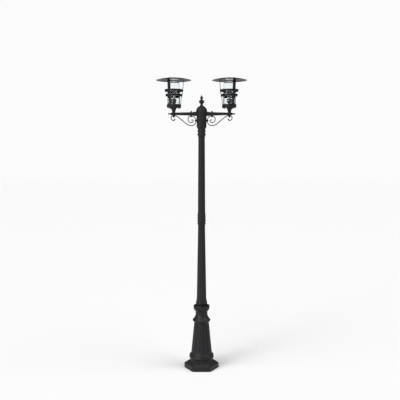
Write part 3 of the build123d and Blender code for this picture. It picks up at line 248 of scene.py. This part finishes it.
class Finish:
    """One material and the short calls that build its nodes."""

    def __init__(self, name):
        self.material = bpy.data.materials.new(name)
        self.material.use_nodes = True
        self.tree = self.material.node_tree
        self.shader = self.tree.nodes["Principled BSDF"]
        self.place = self.node("ShaderNodeTexCoord", out="Object")

    def node(self, kind, settings=None, values=None, out=0):
        """Adds a node, sets it up, fills or links its inputs and returns one of its outputs."""
        made = self.tree.nodes.new(kind)
        for key, setting in (settings or {}).items():
            if key == "stops":
                ramp = made.color_ramp
                while len(ramp.elements) < len(setting):
                    ramp.elements.new(1.0)
                for element, (position, shade) in zip(ramp.elements, setting):
                    element.position = position
                    element.color = (shade, shade, shade, 1.0)
            else:
                setattr(made, key, setting)
        for key, value in (values or {}).items():
            self.fill(made.inputs[key], value)
        return Value(self, made.outputs[out])

    def fill(self, socket, value):
        if isinstance(value, Value):
            self.tree.links.new(value.socket, socket)
        elif socket.type == "RGBA" and len(value) == 3:
            socket.default_value = (*value, 1.0)
        else:
            socket.default_value = value

    def put(self, **inputs):
        """Fills the shader's own sockets; underscores in names stand for spaces."""
        for key, value in inputs.items():
            self.fill(self.shader.inputs[key.replace("_", " ")], value)

    def scaled(self, x, y, z):
        return self.node("ShaderNodeMapping", values={"Vector": self.place, "Scale": (x, y, z)})

    def noise(self, scale, detail=3.0, roughness=0.55, place=None):
        values = {"Vector": place or self.place, "Scale": scale, "Detail": detail, "Roughness": roughness}
        return self.node("ShaderNodeTexNoise", values=values, out="Fac")

    def ramp(self, value, *stops):
        return self.node("ShaderNodeValToRGB", {"stops": stops}, {"Fac": value})

    def mixed(self, share, first, second):
        settings = {"data_type": "RGBA", "blend_type": "MIX"}
        return self.node("ShaderNodeMix", settings, {0: share, 6: first, 7: second}, out=2)

    def bump(self, height, distance, under=None):
        values = {"Height": height, "Distance": distance, "Strength": 1.0}
        if under is not None:
            values["Normal"] = under
        return self.node("ShaderNodeBump", values=values)

    def facing_up(self):
        normal = self.node("ShaderNodeNewGeometry", out="Normal")
        return self.node("ShaderNodeSeparateXYZ", values={0: normal}, out="Z")

    def height(self):
        return self.node("ShaderNodeSeparateXYZ", values={0: self.place}, out="Z")


def painted_iron(name, grain, gloss):
    """Satin black paint over a cast or rolled surface, with grain, slight fading and dust on the ledges."""
    finishes = bpy.context.scene.post_finishes
    paint = Finish(name)
    grit = paint.noise(1100.0, 2.0)
    swell = paint.noise(70.0, 4.0)
    streaks = paint.noise(1.0, 4.0, 0.6, paint.scaled(110.0, 110.0, 6.0))
    ledges = paint.ramp(paint.facing_up(), (0.35, 0.0), (0.95, 1.0))
    near_ground = paint.ramp(paint.height(), (0.0, 1.0), (0.16, 0.0))
    patches = paint.ramp(paint.noise(38.0, 5.0, 0.65), (0.38, 0.0), (0.68, 1.0))
    dust = (ledges + near_ground * 0.5) * patches * finishes.dust_amount
    faded = tuple(1.5 * channel + 0.002 for channel in finishes.paint_colour)
    fade_share = paint.ramp(swell * 0.6 + streaks * 0.4, (0.36, 0.0), (0.66, 0.75))
    base = paint.mixed(fade_share, tuple(finishes.paint_colour), faded)
    paint.put(
        Base_Color=paint.mixed(dust, base, tuple(finishes.dust_colour)),
        Roughness=gloss + swell * 0.16 + grit * 0.06 + dust * 0.9,
        Specular_IOR_Level=finishes.paint_specular,
        Normal=paint.bump(grit, grain, paint.bump(swell, 3.2 * grain)),
    )
    return paint.material


def clear_glass(name, tint, waviness):
    """Blown glass: slightly uneven, faintly dusty, with a few seeds in it."""
    glass = Finish(name)
    wave = glass.noise(26.0, 2.0, 0.4)
    seeds = glass.ramp(glass.noise(900.0, 1.0), (0.74, 0.0), (0.8, 1.0))
    film = glass.ramp(glass.noise(45.0, 5.0, 0.7), (0.4, 0.0), (0.75, 1.0))
    glass.put(
        Base_Color=glass.mixed(film * 0.25, tint, tuple(0.93 * channel for channel in tint)),
        Roughness=0.012 + film * 0.035 + seeds * 0.05,
        Transmission_Weight=1.0,
        IOR=bpy.context.scene.post_finishes.glass_index,
        Normal=glass.bump(wave + seeds * 0.06, waviness),
    )
    return glass.material


def metal(name, colour, gloss, turned=False):
    """Bare or plated metal, brushed along or round, with darker handled patches."""
    plate = Finish(name)
    scratch_place = plate.scaled(1.0, 1.0, 40.0) if turned else plate.scaled(1.0, 40.0, 1.0)
    scratches = plate.noise(70.0, 5.0, 0.7, scratch_place)
    stain = plate.ramp(plate.noise(160.0, 5.0, 0.7), (0.42, 0.0), (0.72, 1.0))
    dull = tuple(0.45 * channel for channel in colour)
    plate.put(
        Base_Color=plate.mixed(stain * 0.6, colour, dull),
        Metallic=1.0 - stain * 0.15,
        Roughness=gloss + stain * 0.22 + scratches * 0.1,
        Normal=plate.bump(scratches, 0.05 * MM),
    )
    return plate.material


def moulded(name, colour, gloss, speckle=0.12):
    """Moulded plastic or rubber with a soft ripple and fine specks."""
    mould = Finish(name)
    ripple = mould.noise(120.0, 3.0)
    specks = mould.ramp(mould.noise(2200.0, 2.0), (0.6, 0.0), (0.78, 1.0))
    shade = tuple((1 - speckle) * channel for channel in colour)
    mould.put(
        Base_Color=mould.mixed(specks * 0.5 + ripple * 0.4, colour, shade),
        Roughness=gloss + ripple * 0.12 + specks * 0.08,
        Normal=mould.bump(ripple + specks * 0.2, 0.12 * MM),
    )
    return mould.material


def finish(slot):
    """The material of one of the record's slots, made when it is first asked for."""
    name = slot + "_finish"
    made = bpy.data.materials.get(name)
    if made:
        return made
    finishes = bpy.context.scene.post_finishes
    colour = slot_colour[slot]
    makers = {
        "black_casting_paint": lambda: painted_iron(name, finishes.cast_grain, 0.34),
        "black_sheet_paint": lambda: painted_iron(name, 0.35 * finishes.cast_grain, 0.3),
        "plain_aluminium": lambda: metal(name, colour, 0.3, turned=True),
        "jar_glass": lambda: clear_glass(name, tuple(finishes.glass_tint), 0.5 * MM),
        "bulb_glass": lambda: clear_glass(name, (0.985, 0.99, 0.99), 0.1 * MM),
        "lamp_wire": lambda: metal(name, colour, 0.28),
        "brass": lambda: metal(name, colour, 0.22, turned=True),
        "moulded_black": lambda: moulded(name, colour, 0.26),
        "gasket_rubber": lambda: moulded(name, colour, 0.72, 0.3),
        "cable_sheath": lambda: moulded(name, colour, 0.55, 0.2),
        "zinc_steel": lambda: metal(name, colour, 0.33),
        "terminal_plastic": lambda: moulded(name, colour, 0.42, 0.1),
    }
    return makers[slot]()


# ---------------------------------------------------------------------- meshes
def outline(start, *moves, curve_steps=8):
    """Points of a profile: two numbers are a straight run's end, four an arc's middle and end."""
    points = [start]
    for move in moves:
        if len(move) == 4:
            points += arc_points(points[-1], move[:2], move[2:], curve_steps)
        else:
            points.append(move)
    return points


def arc_points(first, middle, last, count):
    """Points after the first along the circle through three points."""
    (ax, ay), (bx, by), (cx, cy) = first, middle, last
    twist = 2 * (ax * (by - cy) + bx * (cy - ay) + cx * (ay - by))
    a2, b2, c2 = ax * ax + ay * ay, bx * bx + by * by, cx * cx + cy * cy
    x = (a2 * (by - cy) + b2 * (cy - ay) + c2 * (ay - by)) / twist
    y = (a2 * (cx - bx) + b2 * (ax - cx) + c2 * (bx - ax)) / twist
    start, through, end = (atan2(py - y, px - x) for px, py in (first, middle, last))
    turn, part = (end - start) % (2 * pi), (through - start) % (2 * pi)
    turn = turn if part < turn else turn - 2 * pi
    radius = hypot(ax - x, ay - y)
    angles = [start + turn * step / count for step in range(1, count + 1)]
    return [(x + radius * cos(angle), y + radius * sin(angle)) for angle in angles]


def turned(profile, centre=(0.0, 0.0), steps=96, closed=False, relief_below=0):
    """A profile of radius and height pairs spun round an upright axis; the first points carry relief."""
    bm = bmesh.new()
    relief = bm.verts.layers.float.new("relief")
    ring = [bm.verts.new((centre[0] + radius, centre[1], level)) for radius, level in profile]
    for vertex in ring[:relief_below]:
        vertex[relief] = 1.0
    pairs = list(zip(ring, ring[1:])) + ([(ring[-1], ring[0])] if closed else [])
    edges = [bm.edges.new(pair) for pair in pairs]
    bmesh.ops.spin(
        bm,
        geom=ring + edges,
        cent=(centre[0], centre[1], 0.0),
        axis=(0.0, 0.0, 1.0),
        angle=2 * pi,
        steps=steps,
        use_merge=True,
    )
    bmesh.ops.remove_doubles(bm, verts=bm.verts, dist=1e-6)
    return bm


def carve(bm, relief_at):
    """Moves the relief vertices out or in by relief_at(angle, level), in metres."""
    layer = bm.verts.layers.float["relief"]
    for vertex in bm.verts:
        if vertex[layer] > 0.5:
            radius = hypot(vertex.co.x, vertex.co.y)
            out = relief_at(atan2(vertex.co.y, vertex.co.x), vertex.co.z)
            vertex.co.xy *= (radius + out) / radius


def piece(name, bm, stands_for, sharp=38):
    """Turns a finished bmesh into an object that stands for CAD nodes and rides with them."""
    bmesh.ops.recalc_face_normals(bm, faces=bm.faces)
    mesh = bpy.data.meshes.new(name)
    bm.to_mesh(mesh)
    bm.free()
    mesh.shade_smooth()
    mesh.set_sharp_from_angle(angle=radians(sharp))
    mesh.materials.append(finish(slot_of[stands_for]))
    made = bpy.data.objects.new(name, mesh)
    bpy.context.scene.collection.objects.link(made)
    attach(made, body_of[stands_for])
    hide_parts(stands_for)


def paint_nodes(*names):
    """Gives CAD nodes their slots' finishes."""
    for name in names:
        for place in nodes[name].material_slots:
            place.material = finish(slot_of[name])


def lantern_centre(side):
    low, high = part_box(side + "_glass_jar")
    return (low.x + high.x) / 2, (low.y + high.y) / 2


# ------------------------------------------------------------------- operators
class PostOperator:
    """What every operator of the lamp post shares."""

    bl_options = {"REGISTER", "UNDO"}


class LAMPPOST_OT_pole(PostOperator, bpy.types.Operator):
    """Paint the plinth, the pedestal, the shafts, the hub and the caps"""

    bl_idname = "lamppost.pole"
    bl_label = "Pole castings"

    def execute(self, context):
        paint_nodes("plinth", "pedestal", "lower_shaft", "upper_shaft")
        paint_nodes("neck_collar", "hub", "dome_cap", "finial")
        return {"FINISHED"}


class LAMPPOST_OT_crown(PostOperator, bpy.types.Operator):
    """Model the leafed crown on top of the pedestal"""

    bl_idname = "lamppost.crown"
    bl_label = "Leafed crown"

    def execute(self, context):
        sizes = context.scene.post_sizes
        low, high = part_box("pedestal_crown")
        body_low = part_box("pedestal")[1].z
        seat_depth = 23 * MM
        seat = high.z - seat_depth
        flange = (high.x - low.x) / 2
        rim = flange - 9 * MM
        neck = flange - 25.5 * MM
        foot = body_low + 80 * MM
        outer = outline(
            (flange - 13 * MM, body_low),
            (flange - 5 * MM, body_low + 7 * MM, flange - 1 * MM, body_low + 13 * MM),
            (flange, body_low + 17.5 * MM, flange - 2 * MM, body_low + 22 * MM),
            (flange - 4 * MM, body_low + 24 * MM),
            (neck + 7 * MM, body_low + 46 * MM, neck, body_low + 73 * MM),
            (neck + 1.6 * MM, foot - 3.5 * MM, neck, foot),
            (neck + 3 * MM, foot + 12 * MM, neck + 11.5 * MM, foot + 22 * MM),
            (neck + 18.5 * MM, foot + 42 * MM, rim, high.z),
            curve_steps=14,
        )
        inner = outline(
            (rim - 1.5 * MM, high.z),
            (rim - 4 * MM, high.z),
            (rim - 5.5 * MM, high.z - 5 * MM, neck + 3 * MM, high.z - 9 * MM),
            (neck + 1.5 * MM, high.z - 10 * MM),
            (neck + 1.5 * MM, seat),
            (neck - 10 * MM, seat),
            (neck - 10 * MM, seat - 30 * MM),
            (neck - 15 * MM, seat - 30 * MM),
            (neck - 15 * MM, body_low + 24 * MM),
            (neck - 2.5 * MM, low.z),
            (neck + 3 * MM, low.z),
            (neck + 3 * MM, body_low),
        )
        steps = sizes.crown_leaves * 24
        bm = turned(outer + inner, steps=steps, closed=True, relief_below=len(outer))
        sector = 2 * pi / sizes.crown_leaves

        def leaves(angle, level):
            """Leaves with a cut midrib and slanting side veins over the cup."""
            up = (level - foot) / (high.z - foot)
            if up <= 0.0:
                return 0.0
            across = 2 * abs(((angle + pi / 2) / sector + 0.5) % 1.0 - 0.5)
            fade = min(1.0, 4 * up)
            valley = -sizes.leaf_depth * exp(-(((1 - across) / 0.16) ** 2))
            midrib = 1.1 * sizes.vein_depth * exp(-((across / 0.1) ** 2))
            veins = -sizes.vein_depth * max(0.0, sin(2 * pi * (5 * up - 1.3 * across))) * (across > 0.12)
            return fade * (valley + midrib + veins * min(1.0, 3 * (1 - across)))

        carve(bm, leaves)
        piece("crown_casting", bm, "pedestal_crown")
        return {"FINISHED"}


class LAMPPOST_OT_collar(PostOperator, bpy.types.Operator):
    """Model the turned middle collar with its ring of petals"""

    bl_idname = "lamppost.collar"
    bl_label = "Middle collar"

    def execute(self, context):
        sizes = context.scene.post_sizes
        low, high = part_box("mid_collar")
        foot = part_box("lower_shaft")[1].z
        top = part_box("upper_shaft")[0].z
        tall = top - foot
        ring = (high.x - low.x) / 2
        pole = ring - 6.5 * MM
        upper_pole = pole + 2 * MM
        waist = pole + 2.5 * MM
        bulge = ring - 0.9 * MM

        def at(share):
            return foot + share * tall

        outer = outline(
            (pole, foot),
            (pole + 0.7 * MM, at(0.08), waist, at(0.155)),
            (ring, at(0.195), waist, at(0.235)),
            (waist, at(0.32)),
            (bulge, at(0.43), waist, at(0.54)),
            (waist, at(0.575)),
            (ring - 0.6 * MM, at(0.63), waist, at(0.685)),
            (waist, at(0.765)),
            (ring, at(0.805), waist, at(0.845)),
            (upper_pole + 0.7 * MM, at(0.92), upper_pole, top),
            curve_steps=12,
        )
        bore = [(0.55 * pole, top), (0.55 * pole, foot)]
        bm = turned(outer + bore, steps=sizes.collar_petals * 20, closed=True, relief_below=len(outer))
        sector = 2 * pi / sizes.collar_petals

        def petals(angle, level):
            """Petals over the bulge and none over the rings."""
            rise = (level - at(0.32)) / (at(0.54) - at(0.32))
            if not 0.0 < rise < 1.0:
                return 0.0
            across = 2 * abs(((angle + pi / 2) / sector) % 1.0 - 0.5)
            valley = exp(-(((1 - across) / 0.2) ** 2))
            midrib = exp(-((across / 0.14) ** 2))
            return sin(pi * rise) * (0.35 * sizes.petal_depth * midrib - sizes.petal_depth * valley)

        carve(bm, petals)
        piece("middle_collar_casting", bm, "mid_collar")
        return {"FINISHED"}


class LAMPPOST_OT_arms(PostOperator, bpy.types.Operator):
    """Paint the arms, the scroll brackets and their straps"""

    bl_idname = "lamppost.arms"
    bl_label = "Arms and scrolls"

    def execute(self, context):
        for side in sides:
            paint_nodes(side + "_arm", side + "_scroll", side + "_arm_collar", side + "_stem", side + "_cup")
        return {"FINISHED"}


class LAMPPOST_OT_cages(PostOperator, bpy.types.Operator):
    """Paint the struts and bands round the jars"""

    bl_idname = "lamppost.cages"
    bl_label = "Lantern cages"

    def execute(self, context):
        for side in sides:
            paint_nodes(side + "_struts", side + "_lower_band", side + "_upper_band")
        return {"FINISHED"}


class LAMPPOST_OT_hats(PostOperator, bpy.types.Operator):
    """Model the flat domed hats with a wired rim"""

    bl_idname = "lamppost.hats"
    bl_label = "Hats"

    def execute(self, context):
        bead = context.scene.post_sizes.hat_bead
        for side in sides:
            low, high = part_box(side + "_hat")
            radius = (high.x - low.x) / 2
            rim_level = low.z + bead
            sheet = 1.5 * MM
            rise = high.z - low.z - 2.5 * MM
            middle = (radius / 2, high.z - rise / 4)
            profile = outline(
                (0.0, high.z),
                (*middle, radius - bead, low.z + 2.4 * MM),
                (radius, rim_level, radius - bead, low.z),
                (radius - 2 * bead, rim_level),
                (radius - bead - sheet, low.z + 2.2 * MM),
                (middle[0], middle[1] - sheet, 0.0, high.z - sheet),
                curve_steps=20,
            )
            bm = turned(profile, lantern_centre(side), steps=128)
            piece(side + "_hat_spinning", bm, side + "_hat")
            paint_nodes(side + "_hat_shield", side + "_hat_screws")
        return {"FINISHED"}


class LAMPPOST_OT_jars(PostOperator, bpy.types.Operator):
    """Model the domed glass jars with a ground foot"""

    bl_idname = "lamppost.jars"
    bl_label = "Glass jars"

    def execute(self, context):
        wall = context.scene.post_sizes.jar_wall
        for side in sides:
            low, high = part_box(side + "_glass_jar")
            radius = (high.x - low.x) / 2
            shoulder = 28 * MM

            def shell(radius, shoulder, top):
                inset = shoulder * (1 - sin(pi / 4))
                bend = (radius - inset, top - inset, radius - shoulder, top - 0.6 * MM)
                return ((radius, top - shoulder), bend, ((radius - shoulder) / 2, top - 0.15 * MM, 0.0, top))

            ground = 1.2 * MM
            outside = outline(
                (radius - ground, low.z),
                (radius, low.z + ground),
                *shell(radius, shoulder, high.z),
            )
            inside = outline(
                (radius - wall, low.z + ground),
                *shell(radius - wall, shoulder - wall, high.z - wall),
            )
            foot = [(radius - wall + 0.6 * MM, low.z)]
            profile = outside[::-1] + foot + inside
            bm = turned(profile, lantern_centre(side), steps=96)
            piece(side + "_jar_glass", bm, side + "_glass_jar", sharp=60)
            paint_nodes(side + "_jar_gasket")
        return {"FINISHED"}


class LAMPPOST_OT_bulbs(PostOperator, bpy.types.Operator):
    """Model the bulbs: envelope, threaded cap and coiled filament"""

    bl_idname = "lamppost.bulbs"
    bl_label = "Bulbs"

    def execute(self, context):
        for side in sides:
            self.envelope(side)
            self.cap(side)
            self.filament(side, context.scene.post_sizes.filament_pitch)
        return {"FINISHED"}

    def envelope(self, side):
        low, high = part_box(side + "_bulb_envelope")
        ball = (high.x - low.x) / 2
        middle = high.z - ball
        neck = 12.4 * MM
        wall = 1 * MM
        waist = (neck + 3.5 * MM, low.z + 13 * MM)

        def skin(inset):
            leave = radians(-42)
            reach = ball - inset
            return outline(
                (neck - inset, low.z),
                (neck - inset, low.z + 4 * MM),
                (waist[0] - inset, waist[1], reach * cos(leave), middle + reach * sin(leave)),
                (reach, middle, 0.0, middle + reach),
                curve_steps=18,
            )

        bm = turned(skin(0.0)[::-1] + skin(wall), lantern_centre(side), steps=72)
        piece(side + "_bulb_glass", bm, side + "_bulb_envelope", sharp=60)

    def cap(self, side):
        low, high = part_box(side + "_bulb_cap")
        crest = (high.x - low.x) / 2
        root = crest - 0.8 * MM
        pitch = 3.6 * MM
        turns = 4 - 0.2
        steps_per_turn = 48
        x, y = lantern_centre(side)
        profile = outline(
            (0.0, low.z),
            (0.26 * crest, low.z),
            (0.38 * crest, low.z + 1.5 * MM),
            (root - 1 * MM, low.z + 6 * MM),
            (root, low.z + 6.6 * MM),
            (root, high.z - 2 * MM),
            (crest - 0.2 * MM, high.z),
            (root - 1 * MM, high.z),
            (root - 1 * MM, low.z + 8 * MM),
            (0.0, low.z + 8 * MM),
        )
        bm = turned(profile, (x, y), steps=64)
        thread_low = low.z + 7.2 * MM
        section = outline(
            (root - 0.3 * MM, thread_low),
            (crest, thread_low + pitch * 0.42, root - 0.3 * MM, thread_low + pitch * 0.84),
            curve_steps=6,
        )
        ridge = [bm.verts.new((x + radius, y, level)) for radius, level in section]
        edges = [bm.edges.new(pair) for pair in zip(ridge, ridge[1:] + ridge[:1])]
        start_cap = bm.faces.new(ridge)
        spun = bmesh.ops.spin(
            bm,
            geom=[start_cap] + edges + ridge,
            cent=(x, y, 0.0),
            axis=(0.0, 0.0, 1.0),
            dvec=(0.0, 0.0, pitch / steps_per_turn),
            angle=2 * pi * turns,
            steps=int(steps_per_turn * turns),
        )
        if not spun["geom_last"]:
            raise RuntimeError("the bulb's thread was not made")
        piece(side + "_bulb_brass", bm, side + "_bulb_cap")

    def filament(self, side, pitch):
        low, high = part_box(side + "_bulb_filament")
        x, y = lantern_centre(side)
        middle = (x, y, 0.0)
        stem_top = low.z + 0.68 * (high.z - low.z)
        post_reach = 9 * MM
        wire = 0.35 * MM
        bm = turned(
            outline(
                (0.0, low.z),
                (6 * MM, low.z),
                (5 * MM, low.z + 0.3 * (high.z - low.z)),
                (2.6 * MM, stem_top - 5 * MM),
                (3.6 * MM, stem_top - 1.5 * MM, 0.0, stem_top),
            ),
            (x, y),
            steps=40,
        )
        level = high.z - 1.2 * MM
        for way in (-1, 1):
            base = Vector((x + way * 1.2 * MM, y, stem_top - 4 * MM))
            tip = Vector((x + way * post_reach, y, level))
            run = tip - base
            stand = Matrix.Translation((base + tip) / 2) @ run.to_track_quat("Z", "Y").to_matrix().to_4x4()
            bmesh.ops.create_cone(
                bm, cap_ends=True, segments=10, radius1=wire, radius2=wire, depth=run.length, matrix=stand
            )
        coil_radius = 0.9 * MM
        turns = int(2 * post_reach / pitch)
        start = Matrix.Translation((x - post_reach, y, level + coil_radius)) @ Matrix.Rotation(pi / 2, 4, "X")
        loop = bmesh.ops.create_circle(bm, cap_ends=True, radius=0.18 * MM, segments=6, matrix=start)
        geom = loop["verts"] + list({e for v in loop["verts"] for e in v.link_edges})
        geom += list({f for v in loop["verts"] for f in v.link_faces})
        steps_per_turn = 12
        bmesh.ops.spin(
            bm,
            geom=geom,
            cent=(x, y, level),
            axis=(1.0, 0.0, 0.0),
            dvec=(pitch / steps_per_turn, 0.0, 0.0),
            angle=2 * pi * turns,
            steps=turns * steps_per_turn,
        )
        piece(side + "_filament_mount", bm, side + "_bulb_filament")


class LAMPPOST_OT_fittings(PostOperator, bpy.types.Operator):
    """Finish the fasteners, the lamp holders and the wiring"""

    bl_idname = "lamppost.fittings"
    bl_label = "Fittings and wiring"

    def execute(self, context):
        finished = {made.get("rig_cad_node") for made in nodes.values() if made.hide_render}
        unpainted = [name for name in nodes if name not in finished and not self.has_finish(name)]
        paint_nodes(*unpainted)
        return {"FINISHED"}

    def has_finish(self, name):
        return all(place.material == finish(slot_of[name]) for place in nodes[name].material_slots)


class LAMPPOST_OT_stage(PostOperator, bpy.types.Operator):
    """Set the pale floor, the soft lights and the camera"""

    bl_idname = "lamppost.stage"
    bl_label = "Studio stage"

    def execute(self, context):
        stage = context.scene.post_stage
        bm = bmesh.new()
        bmesh.ops.create_grid(bm, x_segments=1, y_segments=1, size=stage.floor_size / 2)
        mesh = bpy.data.meshes.new("studio_floor")
        bm.to_mesh(mesh)
        bm.free()
        pale = Finish("studio_floor_finish")
        cloud = pale.noise(0.7, 3.0)
        tint = tuple(stage.floor_colour)
        pale.put(
            Base_Color=pale.mixed(cloud, tint, tuple(0.985 * channel for channel in tint)),
            Roughness=0.85 + cloud * 0.1,
        )
        mesh.materials.append(pale.material)
        floor = bpy.data.objects.new("studio_floor", mesh)
        floor.location.z = cad_box[0][2] - 0.5 * MM
        context.scene.collection.objects.link(floor)

        broad, narrow = radians(50), radians(26)
        self.lamp(context, "key_light", (-1.5, -1.6, 2.6), broad, stage.key_strength)
        self.lamp(context, "fill_light", (2.2, -1.0, 2.4), broad, stage.fill_strength)
        self.lamp(context, "low_light", (-2.1, -2.2, 0.9), narrow, stage.low_strength)

        world = bpy.data.worlds.new("white_surroundings")
        context.scene.world = world
        world.use_nodes = True
        tree = world.node_tree
        seen = tree.nodes["Background"]
        seen.inputs["Color"].default_value = (1.0, 0.998, 1.0, 1.0)
        seen.inputs["Strength"].default_value = stage.sky_strength
        dim = tree.nodes.new("ShaderNodeBackground")
        dim.inputs["Color"].default_value = (0.97, 0.985, 1.0, 1.0)
        dim.inputs["Strength"].default_value = stage.room_strength
        rays = tree.nodes.new("ShaderNodeLightPath")
        either = tree.nodes.new("ShaderNodeMath")
        either.operation = "MAXIMUM"
        tree.links.new(rays.outputs["Is Camera Ray"], either.inputs[0])
        tree.links.new(rays.outputs["Is Transmission Ray"], either.inputs[1])
        choice = tree.nodes.new("ShaderNodeMixShader")
        tree.links.new(either.outputs[0], choice.inputs[0])
        tree.links.new(dim.outputs[0], choice.inputs[1])
        tree.links.new(seen.outputs[0], choice.inputs[2])
        tree.links.new(choice.outputs[0], tree.nodes["World Output"].inputs["Surface"])

        camera_data = bpy.data.cameras.new("camera")
        camera_data.lens = stage.camera_lens
        camera_data.sensor_width = 36.0
        camera = bpy.data.objects.new("camera", camera_data)
        camera.location = (stage.camera_offset, -stage.camera_distance, stage.camera_height)
        camera.rotation_euler = (pi / 2 - stage.camera_tilt, 0.0, 0.0)
        context.scene.collection.objects.link(camera)
        context.scene.camera = camera
        context.scene.view_settings.view_transform = "Standard"
        return {"FINISHED"}

    def lamp(self, context, name, towards, spread, strength):
        """A soft, even light that comes from one direction."""
        data = bpy.data.lights.new(name, "SUN")
        data.angle = spread
        data.energy = strength
        made = bpy.data.objects.new(name, data)
        made.rotation_euler = Vector(towards).to_track_quat("Z", "Y").to_euler()
        context.scene.collection.objects.link(made)


class LAMPPOST_PT_panel(bpy.types.Panel):
    """Lists the post's pieces in the order they are made"""

    bl_idname = "LAMPPOST_PT_panel"
    bl_label = "Lamp Post"
    bl_space_type = "VIEW_3D"
    bl_region_type = "UI"
    bl_category = "Lamp Post"

    def draw(self, context):
        for operator in operators:
            self.layout.operator(operator.bl_idname)


operators = (
    LAMPPOST_OT_stage,
    LAMPPOST_OT_pole,
    LAMPPOST_OT_crown,
    LAMPPOST_OT_collar,
    LAMPPOST_OT_arms,
    LAMPPOST_OT_cages,
    LAMPPOST_OT_hats,
    LAMPPOST_OT_jars,
    LAMPPOST_OT_bulbs,
    LAMPPOST_OT_fittings,
)
property_groups = {"post_sizes": PostSizes, "post_finishes": PostFinishes, "post_stage": PostStage}


def register():
    for name, group in property_groups.items():
        bpy.utils.register_class(group)
        setattr(bpy.types.Scene, name, bpy.props.PointerProperty(type=group))
    for operator in operators:
        bpy.utils.register_class(operator)
    bpy.utils.register_class(LAMPPOST_PT_panel)


def unregister():
    bpy.utils.unregister_class(LAMPPOST_PT_panel)
    for operator in reversed(operators):
        bpy.utils.unregister_class(operator)
    for name, group in property_groups.items():
        delattr(bpy.types.Scene, name)
        bpy.utils.unregister_class(group)


def main():
    register()
    for operator in operators:
        family, action = operator.bl_idname.split(".")
        getattr(getattr(bpy.ops, family), action)()


if __name__ == "__main__":
    main()
